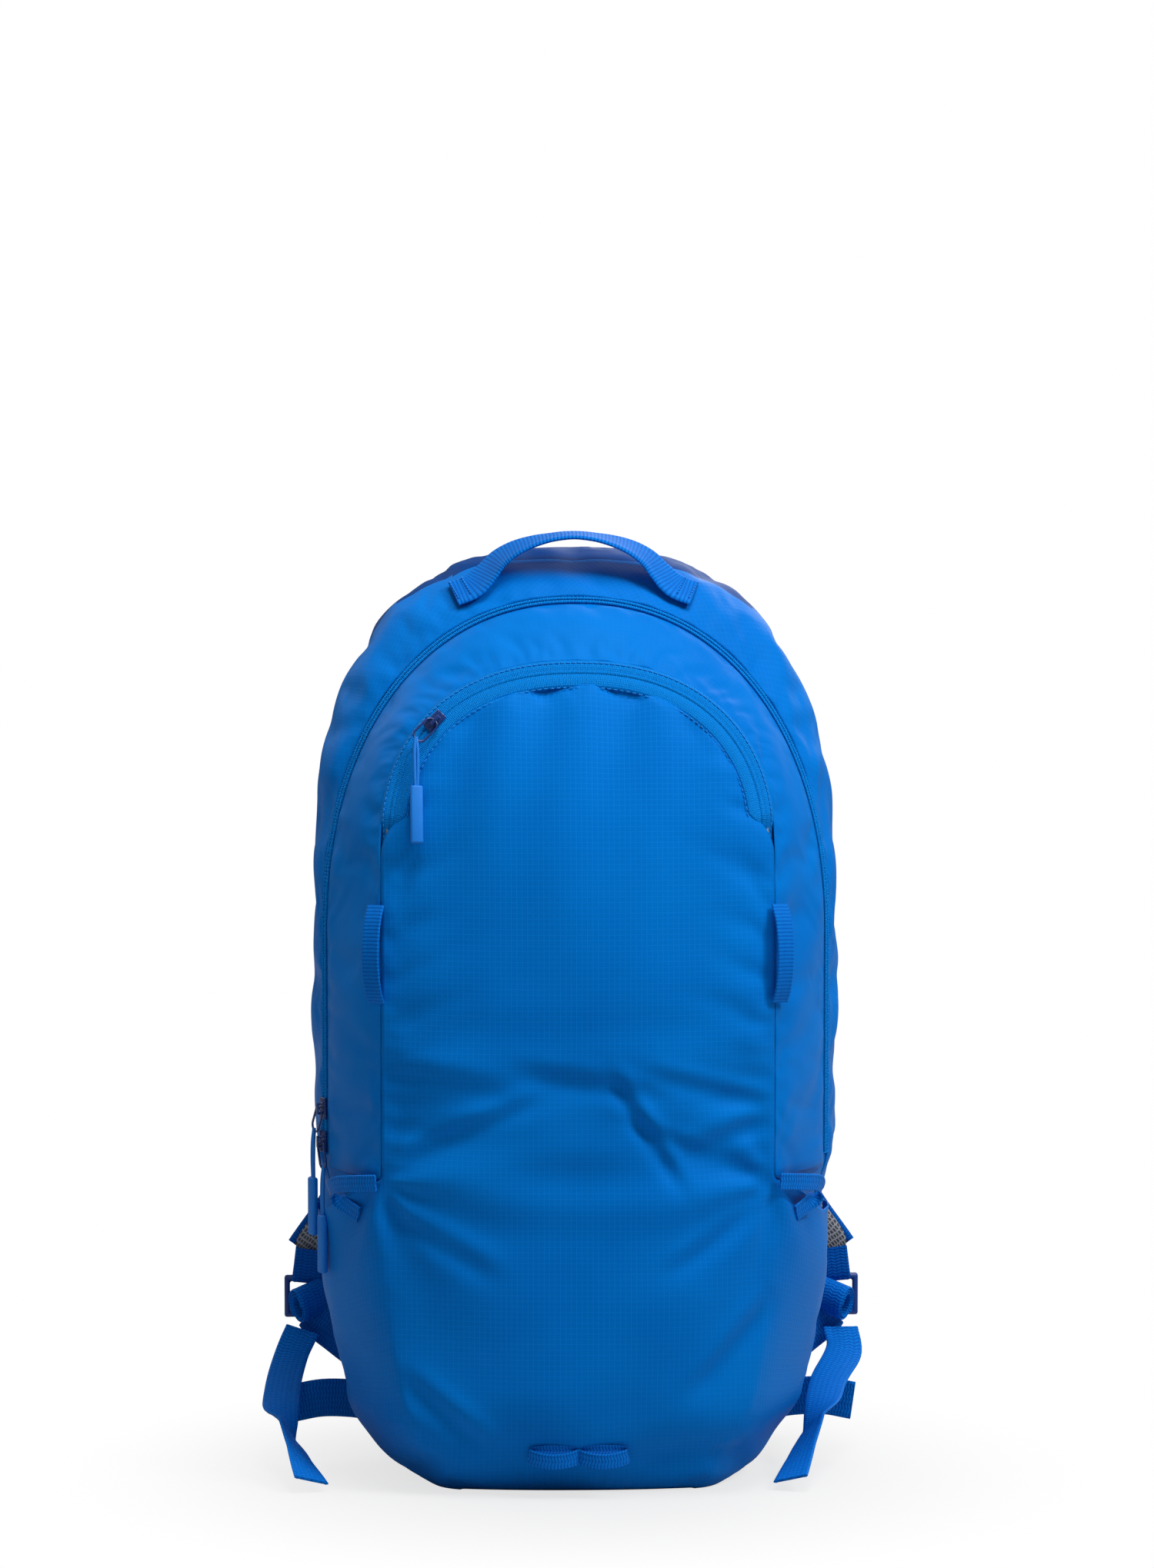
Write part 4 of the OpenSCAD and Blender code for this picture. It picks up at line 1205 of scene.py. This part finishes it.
def handle():
    y, z = bag["sideY"] + 0.012, bag["height"] - 0.013
    foot = [gusset(t, 1.62) + gussetOut(t, 1.62) * 0.0030 for t in (0.126, 0.102)]
    side = [tuple(p) for p in foot] + [(0.0445, y - 0.0015, z + 0.0042), (0.0380, y, z + 0.0112),
                                       (0.0280, y, z + 0.0172), (0.0150, y, z + 0.0212)]
    lean = [(-0.32, -0.80, -0.50), (-0.32, -0.81, -0.48), (-0.32, -0.88, -0.38), (-0.24, -0.94, -0.28),
            (-0.15, -0.98, -0.18), (-0.05, -1, -0.09)]
    flip = np.array([-1, 1, 1])
    points = [np.array(p) * flip for p in side]
    points += [np.array([0, y, z + 0.0230])] + [np.array(p) for p in side[::-1]]
    across = [np.array(p) * flip for p in lean]
    across += [np.array([0, -1.0, -0.07])] + [np.array(p) for p in lean[::-1]]
    obj = webbing("grabHandle", points, np.array(across), web["width"], 0.0022, finishes["webRib"],
                  spacing=0.0016)
    feet = []
    for sign in (-1, 1):
        for row in (0.1, 0.75):
            start = np.array(points[0 if sign < 0 else -1])
            ahead = np.array(points[1 if sign < 0 else -2])
            over = unit(np.array(across[0 if sign < 0 else -1]))
            out = unit(np.cross(ahead - start, over) * sign)
            centre = start + (ahead - start) * row
            line = centre + np.linspace(-0.0088, 0.0088, 12)[:, None] * over + out * 0.0013 * np.sign(out[2])
            feet.append(stitchRow("handleStitch", line, np.tile(out * np.sign(out[2]), (12, 1)),
                                  finishes["thread"],
                                  pitch=0.0022, length=0.0018))
    stitches = joined("handleStitches", feet)
    keep(stitches, "pack", "webbing")
    keep(obj, None, "webbing", "grab_handle", "handle_feet", mount=False)
    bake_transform(obj)


handle()


def gearLoop(side):
    z = np.linspace(0.251, 0.300, 9)
    rise = 0.0018 + 0.0056 * np.sin(np.linspace(0, math.pi, 9)).clip(0) ** 0.7
    base = np.stack([np.full(9, 0.1005), frontAt(np.full(9, 0.0995), z), z], -1)
    points = base + rise[:, None] * unit(np.array([0.6, -1, 0]))
    points[:, 0] *= side
    obj = webbing("gearLoop" + ("Left" if side < 0 else "Right"), points, (side * 1, 0.55, 0), 0.0095, 0.0014,
                  finishes["webRib"])
    keep(obj, "front_flap", "webbing", "gear_loop_" + ("left" if side < 0 else "right"))


def pocketLoop(side):
    down = np.array([0.00, 0.15, 0.32, 0.48, 0.57, 0.59, 0.53, 0.43, 0.30])
    z = np.array([0.1600, 0.1600, 0.1590, 0.1572, 0.1548, 0.1512, 0.1480, 0.1455, 0.1430])
    rise = np.array([0.0040, 0.0065, 0.0090, 0.0095, 0.0085, 0.0068, 0.0052, 0.0042, 0.0034])
    t = legT(z)
    points = gusset(t, down) + gussetOut(t, down) * rise[:, None]
    points[:, 0] *= side
    lean = np.array([(0, 0, 1), (0.05, 0, 1), (0.1, 0.1, 1), (0.2, 0.3, 0.9), (0.35, 0.5, 0.7),
                     (0.4, 0.6, 0.5),
                     (0.3, 0.5, 0.6), (0.2, 0.3, 0.8), (0.1, 0.1, 1)], float) * np.array([side, 1, 1])
    obj = webbing("pocketLoop" + ("Left" if side < 0 else "Right"), points, lean, 0.0085, 0.0013,
                  finishes["web"], spacing=0.0012)
    keep(obj, "pack", "webbing", "pocket_loop_" + ("left" if side < 0 else "right"))


for side in (-1, 1):
    gearLoop(side)
    pocketLoop(side)


def lightLoops():
    x = np.linspace(-0.025, 0.025, 41)
    bow = np.abs(np.sin(np.linspace(0, 2 * math.pi, 41))) ** 0.7
    points = onFront(x, 0.0215 - 0.0022 * bow)
    points[:, 1] -= 0.0050 + 0.0050 * bow
    lean = unit(np.array([0, -0.12, 1]))
    obj = webbing("lightLoops", points, lean, 0.008, 0.0012, finishes["web"], spacing=0.0012)
    keep(obj, "pack", "webbing", "light_loops")
    # Dark sheet from the front cloth up to the loops' top edge: painted shadow, standing in for the shade in
    # the holes under the loops
    rim = points + lean * 0.0034
    cloth = onFront(x, 0.0262 + 0.0014 * bow)
    cloth[:, 1] -= 0.0036
    rows = np.array([cloth, (cloth + rim) / 2 + np.array([0, 0.0022, -0.0012]), rim]).transpose(1, 0, 2)
    keep(finishCloth(sheetGrid("lightLoopShadowSheet", rows), 0.0004, finishes["webDeep"], levels=1), "pack",
         "webbing")


lightLoops()
lockTop = Vector((0.137, 0.074, 0.090))
tailTurns = {
    "left": [(1, 0.3, 0), (1, 0.4, 0.1), (0.8, 0.8, 0.3), (0.5, 0.6, 0.75), (0.75, -0.1, 0.7),
             (1, -0.3, 0.3)],
    "right": [(1, 0.3, 0), (1, 0.3, 0.1), (0.85, 0.7, 0.3), (0.6, 0.5, 0.75), (0.8, -0.1, 0.6),
              (1, -0.3, 0.3)],
}
tails = {
    "left": [(0.141, 0.0635, 0.063), (0.147, 0.0565, 0.050), (0.151, 0.036, 0.037), (0.151, 0.010, 0.027),
             (0.143, -0.020, 0.017), (0.135, -0.052, 0.0062)],
    "right": [(0.141, 0.0635, 0.063), (0.142, 0.0545, 0.052), (0.133, 0.034, 0.041), (0.127, 0.008, 0.031),
              (0.117, -0.022, 0.018), (0.108, -0.054, 0.0062)],
}


def harness(side, name):
    sign = np.array([side, 1, 1])
    p = np.array(lockTop) + [0, -0.0042, -0.019]
    route = np.array([(0.105, 0.056, 0.050), (0.114, 0.059, 0.054), (0.124, 0.063, 0.061),
                      p - [0.003, 0.0025, 0.003],
                      p]) * sign
    adjuster = webbing("adjuster" + name.title(), route, (-0.3 * side, 0, 1), web["width"], web["thick"],
                       finishes["webDeep"])
    keep(adjuster, None, "webbing", "adjuster_web_" + name, mount=False)
    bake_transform(adjuster)
    points = np.array(tails[name]) * sign
    turn = np.array(tailTurns[name]) * sign
    tail = webbing("webTail" + name.title(), points, turn, web["width"] - 0.001, web["thick"],
                   finishes["web"])
    keep(tail, None, "webbing", "tail_" + name, mount=False)
    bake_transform(tail)
    stub = np.array([(0.104, 0.051, 0.027), (0.116, 0.050, 0.029), (0.131, 0.046, 0.030),
                     (0.146, 0.042, 0.028)])
    return webbing("beltWeb" + name.title(), stub * sign, (0, 0, 1), web["width"], web["thick"],
                   finishes["web"])


def webRoll(side, name):
    # Spare webbing wound flat in front of the lock, held by its own bar
    centre = np.array(lockTop) * [side, 1, 1] + [0, -0.0075, -0.0125]
    turns = np.linspace(0, 2.6 * 2 * math.pi, 110)
    wide = 0.0030 + 0.00022 * turns
    rise = 0.0095 - 0.00045 * turns[::-1] * 0.5
    spiral = np.stack([0 * turns, -wide * np.cos(turns), rise * np.sin(turns)], -1)
    tilt = np.array(Matrix.Rotation(math.radians(-38 * side), 3,
                                    "Z") @ Matrix.Rotation(math.radians(14 * side), 3, "Y"))
    over = tilt @ np.array([1.0, 0, 0])
    points = spiral @ tilt.T + centre
    obj = sweep("webRoll" + name.title(), points, np.tile(over, (len(points), 1)),
                webSection(web["width"] - 0.002, 0.0013))
    smooth(obj, 50)
    obj.data.materials.append(finishes["web"])
    keep(obj, "strap_" + name, "webbing")
    loop = [(0.1350, 0.0785, 0.104), (0.1362, 0.0789, 0.094), (0.1370, 0.0775, 0.0878),
            (0.1370, 0.0740, 0.0862),
            (0.1370, 0.0705, 0.0878), (0.1362, 0.0696, 0.094), (0.1350, 0.0700, 0.104)]
    tab = webbing("lockTab" + name.title(), np.array(loop) * [side, 1, 1], (side, 0, 0.1),
                  web["width"] - 0.001, 0.0013,
                  finishes["webDeep"], spacing=0.0015)
    keep(tab, "strap_" + name, "webbing")


for side, name in ((-1, "left"), (1, "right")):
    webRoll(side, name)
stubs = [harness(-1, "left"), harness(1, "right")]
keep(joined("beltWebbing", stubs), "pack", "webbing", "belt_webbing")
print("stage: webbing made")

# Base, back and harness pads
back = {"padY": 0.0655, "padThick": 0.007, "strapThick": 0.008}


def padPiece(name, node, x, width, z0, z1, radius, thick, finish, quilts=()):
    # Foam pad under mesh: a rounded outline, a soft dome, sewn grooves and a bound edge
    rings, sides = 20, 120
    a = np.linspace(0, 2 * math.pi, sides, endpoint=False)
    halfW, halfH, cz = width / 2, (z1 - z0) / 2, (z0 + z1) / 2
    dx, dz = np.cos(a), np.sin(a)
    k = 5.0 if radius < 0.028 else 4.0
    reach = (np.abs(dx) ** k + np.abs(dz) ** k) ** (-1 / k)
    ox, oz = dx * reach * halfW, dz * reach * halfH
    r = np.linspace(0, 1, rings) ** 0.8
    px, pz = np.outer(r, ox), np.outer(r, oz)
    edge = (1 - r ** 7).clip(0) ** 0.5
    high = 0.0012 + (thick - 0.0020) * edge[:, None] * np.ones(sides)
    for zq in quilts:
        high -= 0.0028 * np.exp(-((pz + cz - zq) / 0.0035) ** 2) * ramp((1 - r)[:, None] / 0.06)
    flat = np.stack([px + x, pz + cz], -1)
    high += 0.00035 * ripples(flat * [1, 0.6], 0.035, 90) * edge[:, None]
    top = np.stack([px + x, back["padY"] + high, pz + cz], -1)[1:].reshape(-1, 3)
    rim = np.stack([ox + x, np.full(sides, back["padY"] + 0.0002), oz + cz], -1)
    verts = np.vstack([[(x, back["padY"] + high[0, 0], cz)], top, rim])
    faces = [(0, 1 + j, 1 + (j + 1) % sides) for j in range(sides)]
    for i in range(rings - 1):
        for j in range(sides):
            b, c = 1 + i * sides + j, 1 + i * sides + (j + 1) % sides
            faces.append((b, b + sides, c + sides, c))
    faces.append([1 + (rings - 1) * sides + j for j in range(sides - 1, -1, -1)])
    obj = recalc(meshPiece(name, verts, faces, np.stack([verts[:, 0], verts[:, 2]], -1)))
    smooth(obj, 60)
    obj.data.materials.append(finishes[finish])
    ring = np.stack([ox * 0.995 + x, np.full(sides, back["padY"] + 0.0015), oz * 0.995 + cz], -1)
    binding = tubeLoop(name + "Binding", ring, 0.0013)
    binding.data.materials.append(finishes["webDeep"])
    obj = joined(name, [obj, binding])
    keep(obj, "pack", "mesh", node)


height = bag["height"]
padPiece("backPadLeft", "back_pad_left", -0.052, 0.076, 0.118, height - 0.066, 0.026, back["padThick"],
         "mesh",
         (0.20, 0.285))
padPiece("backPadRight", "back_pad_right", 0.052, 0.076, 0.118, height - 0.066, 0.026, back["padThick"],
         "mesh",
         (0.20, 0.285))
padPiece("lumbarPad", "lumbar_pad", 0, 0.176, 0.034, 0.110, 0.030, back["padThick"], "mesh", (0.072,))
padPiece("strapYoke", "strap_yoke", 0, 0.110, height - 0.025, height - 0.010, 0.006, 0.0032, "navy")


def backPanel():
    k = seams[3]
    line = (k[0] - 0.0025, k[1] - 0.0025, k[2], k[3])
    u = np.linspace(0.02, 0.995, 90)[:, None]
    v = np.linspace(-1, 1, 45)[None, :]
    x, z = v * seamX(line, u), np.broadcast_to(seamZ(line, u), (90, 45))
    y = np.full_like(x, bag["backY"] + 0.0002)
    p = np.stack([x, y, z], -1)
    p[..., 1] += 0.0003 * ripples(p[..., [0, 2]], 0.05, 95) * (1 - np.abs(v) ** 4)
    obj = finishCloth(sheetGrid("backMesh", p), 0.0012, finishes["mesh"], levels=0)
    keep(obj, "pack", "mesh", "back_panel")
    edge = np.linspace(-0.995, 0.995, 420)
    rim = np.stack([seamX(k, edge), np.full_like(edge, bag["backY"] + 0.0006), seamZ(k, edge)], -1)
    piping = sweep("backPiping", rim, np.tile([0, 1.0, 0], (420, 1)),
                   0.0016 * np.array([(math.cos(a),
                                       math.sin(a)) for a in np.linspace(0, 2 * math.pi, 9)[:-1]]))
    smooth(piping, 60)
    piping.data.materials.append(finishes["navy"])
    keep(piping, "pack", "navy_cloth")


backPanel()


def strapPath(side):
    padY, top = back["padY"], height - 0.027
    points = [(0.040, padY + 0.0052, top), (0.043, padY + 0.012, height - 0.050),
              (0.047, padY + 0.020, height - 0.085),
              (0.050, padY + 0.025, 0.367), (0.050, padY + 0.025, 0.323), (0.056, padY + 0.024, 0.280),
              (0.070, padY + 0.022, 0.230), (0.090, padY + 0.018, 0.175), (0.111, padY + 0.013, 0.131),
              (0.136, 0.074, 0.099)]
    widths = np.array([50, 54, 56, 56, 56, 56, 52, 44, 34, 28]) * mm
    path = curvePath(points, 90)
    at = np.linspace(0, len(points) - 1, 90)
    wide = np.interp(at, np.arange(len(points)), widths)
    slope = np.gradient(path, axis=0)
    over = np.stack([-slope[:, 2], 0 * at, slope[:, 0]], -1)
    return path * [side, 1, 1], unit(over) * [side, 1, 1], wide


def strap(side, name):
    path, over, wide = strapPath(side)
    sections = []
    for i, w in enumerate(wide):
        ends = ramp(np.array(min(i, len(wide) - 1 - i) / 4 + 0.25))
        x = np.concatenate([np.linspace(-1, 1, 19), np.linspace(1, -1, 19)[1:-1]])
        dome = (1 - np.abs(x) ** 6).clip(0) ** 0.6
        thick = back["strapThick"] / 2 * (0.22 + 0.78 * dome) * float(ends)
        sign = np.concatenate([np.ones(19), -np.ones(17)])
        sections.append(np.stack([x * w / 2, sign * thick], -1))
    obj = sweep("shoulderStrap" + name.title(), path, over, sections)
    smooth(obj, 60)
    obj.data.materials.append(finishes["mesh"])
    pieces = [obj]
    circle = np.array([(math.cos(a), math.sin(a)) for a in np.linspace(0, 2 * math.pi, 9)[:-1]])
    for edge in (-1, 1):
        rim = path + over * (wide[:, None] / 2 - 0.0006) * edge
        binding = sweep("strapBinding", rim, over, circle * [0.0022, 0.0014])
        smooth(binding, 60)
        binding.data.materials.append(finishes["webDeep"])
        pieces.append(binding)
    obj = joined("shoulderStrap" + name.title(), pieces)
    keep(obj, "strap_" + name, "mesh", "strap_" + name)
    rails = []
    for x in (0.0455, 0.0575):
        line = np.array([(side * x, 0.0966, z) for z in np.linspace(0.325, 0.365, 14)])
        rails.append(sweep("rail", line, np.tile([1.0, 0, 0], (14, 1)), webSection(0.003, 0.0036)))
    for rail in rails:
        smooth(rail, 50)
        rail.data.materials.append(finishes["webDeep"])
    keep(joined("sternumRails" + name.title(), rails), "strap_" + name, "webbing", "sternum_rails_" + name)


for side, name in ((-1, "left"), (1, "right")):
    strap(side, name)
    roundedCopy("sternumSlider" + name.title(), "sternum_slider_" + name, "sternum_" + name, "hardware",
                "plastic")
    roundedCopy("ladderLock" + name.title(), "ladder_lock_" + name, "lock_" + name, "hardware",
                "plastic", 0.0013)
roundedCopy("buckleFemale", "buckle_female", "sternum_left", "hardware", "plastic", 0.0008)
roundedCopy("buckleMale", "buckle_male", "buckle_male", "hardware", "plastic")
roundedCopy("keyHook", "key_hook", "front_flap", "hardware", "plastic")
roundedCopy("backFoam", "back_foam", "pack", "foam", "foam", 0.001)
roundedCopy("frameSheet", "frame_sheet", "pack", "sheet_plastic", "sheet", 0.0003)
webY = 0.1006
left = [(-0.064, webY, 0.345), (-0.045, webY, 0.345), (-0.030, webY + 0.0006, 0.345), (-0.0105, webY, 0.345)]
right = [(0.0195, webY, 0.345), (0.034, webY + 0.0006, 0.345), (0.050, webY, 0.345), (0.064, webY, 0.345)]
keep(webbing("sternumWebLeft", left, (0, 0, 1), 0.015, 0.0014, finishes["web"]), "sternum_left", "webbing",
     "sternum_web_left")
keep(webbing("sternumWebRight", right, (0, 0, 1), 0.015, 0.0014, finishes["web"]), "buckle_male", "webbing",
     "sternum_web_right")
print("stage: pads and straps made")


def basePanel():
    down = np.linspace(0, 2.9, 30)
    rim = gusset(np.full(30, 0.999), down)
    v = np.linspace(-1, 1, 41)[None, :]
    x = (rim[:, None, 0] - 0.0015) * v
    y = np.repeat(rim[:, None, 1], 41, 1)
    z = 0.0004 + 0.0006 * (1 - np.abs(v) ** 8) * np.ones_like(x)
    obj = finishCloth(sheetGrid("basePanel", np.stack([x, y, z], -1), flip=True), 0.0004,
                      finishes["navy"], levels=0)
    keep(obj, "pack", "navy_cloth", "base_panel")


def liningSheet(name, node, body, p, flip, slotName="lining", finish="lining", seed=4):
    edge = np.minimum(np.abs(np.linspace(-1, 1, p.shape[0]))[:, None] * -1 + 1,
                      1 - np.abs(np.linspace(-1, 1, p.shape[1])))
    p = p.copy()
    p[..., 1] += 0.0005 * ripples(p[..., [0, 2]], 0.05, seed) * ramp(edge / 0.15)
    obj = finishCloth(sheetGrid(name, p, flip=flip), 0.0007, finishes[finish], levels=1)
    keep(obj, body, slotName, *([node] if node else []))
    return obj


def inside():
    k = insetSeam(0.0026)
    u = np.linspace(0.04, 0.746, 60)[:, None]
    v = np.linspace(-1, 1, 31)[None, :]
    x, z = seamX(k, u), seamZ(k, u)
    y = frontAt(x, z) + 0.0020
    p = np.stack([x * v, np.broadcast_to(y, (60, 31)), np.broadcast_to(z, (60, 31))], -1)
    liningSheet("pocketWall", "pocket_back_wall", "front_flap", p, True)
    y0, w = 0.0338, 0.154
    x = np.linspace(-w / 2, w / 2, 31)[None, :]
    z = np.linspace(0.024, 0.314, 50)[:, None]
    x, z = np.broadcast_arrays(x, z)
    side = np.abs(x) / (w / 2)
    front = np.stack([x, y0 + 0.0205 * ramp((side - 0.9) / 0.1) + 0.0012, z], -1)
    liningSheet("sleeve", "reservoir_sleeve", "pack", front, True, seed=6)
    top = [(-0.076, y0 + 0.020, 0.3145), (-0.070, y0 + 0.0015, 0.3145), (0, y0 + 0.0008, 0.3145),
           (0.070, y0 + 0.0015, 0.3145), (0.076, y0 + 0.020, 0.3145)]
    keep(webbing("sleeveBinding", top, (0, 0, 1), 0.008, 0.0016, finishes["webDeep"]), "pack", "webbing")
    loop = [(0, 0.0560, 0.377), (0, 0.0470, 0.3755), (0, 0.0445, 0.368), (0, 0.0445, 0.350),
            (0, 0.0448, 0.336),
            (0, 0.0475, 0.3325), (0, 0.0560, 0.3322)]
    keep(webbing("hangerLoop", loop, (1, 0, 0), 0.010, 0.0015, finishes["webDeep"], spacing=0.0015),
         "pack", "webbing",
         "hanger_loop")
    yTape = float(frontAt(np.array(0.099), np.array(0.316)))
    tape = [(-0.045, yTape - 0.0026, 0.2965), (-0.045, yTape - 0.0022, 0.3165),
            (-0.045, yTape + 0.0012, 0.333)]
    keep(webbing("keyTape", tape, (1, 0, 0), 0.010, 0.001, finishes["webDeep"]), "front_flap", "webbing",
         "key_tape")


basePanel()
inside()
print("stage: back made")
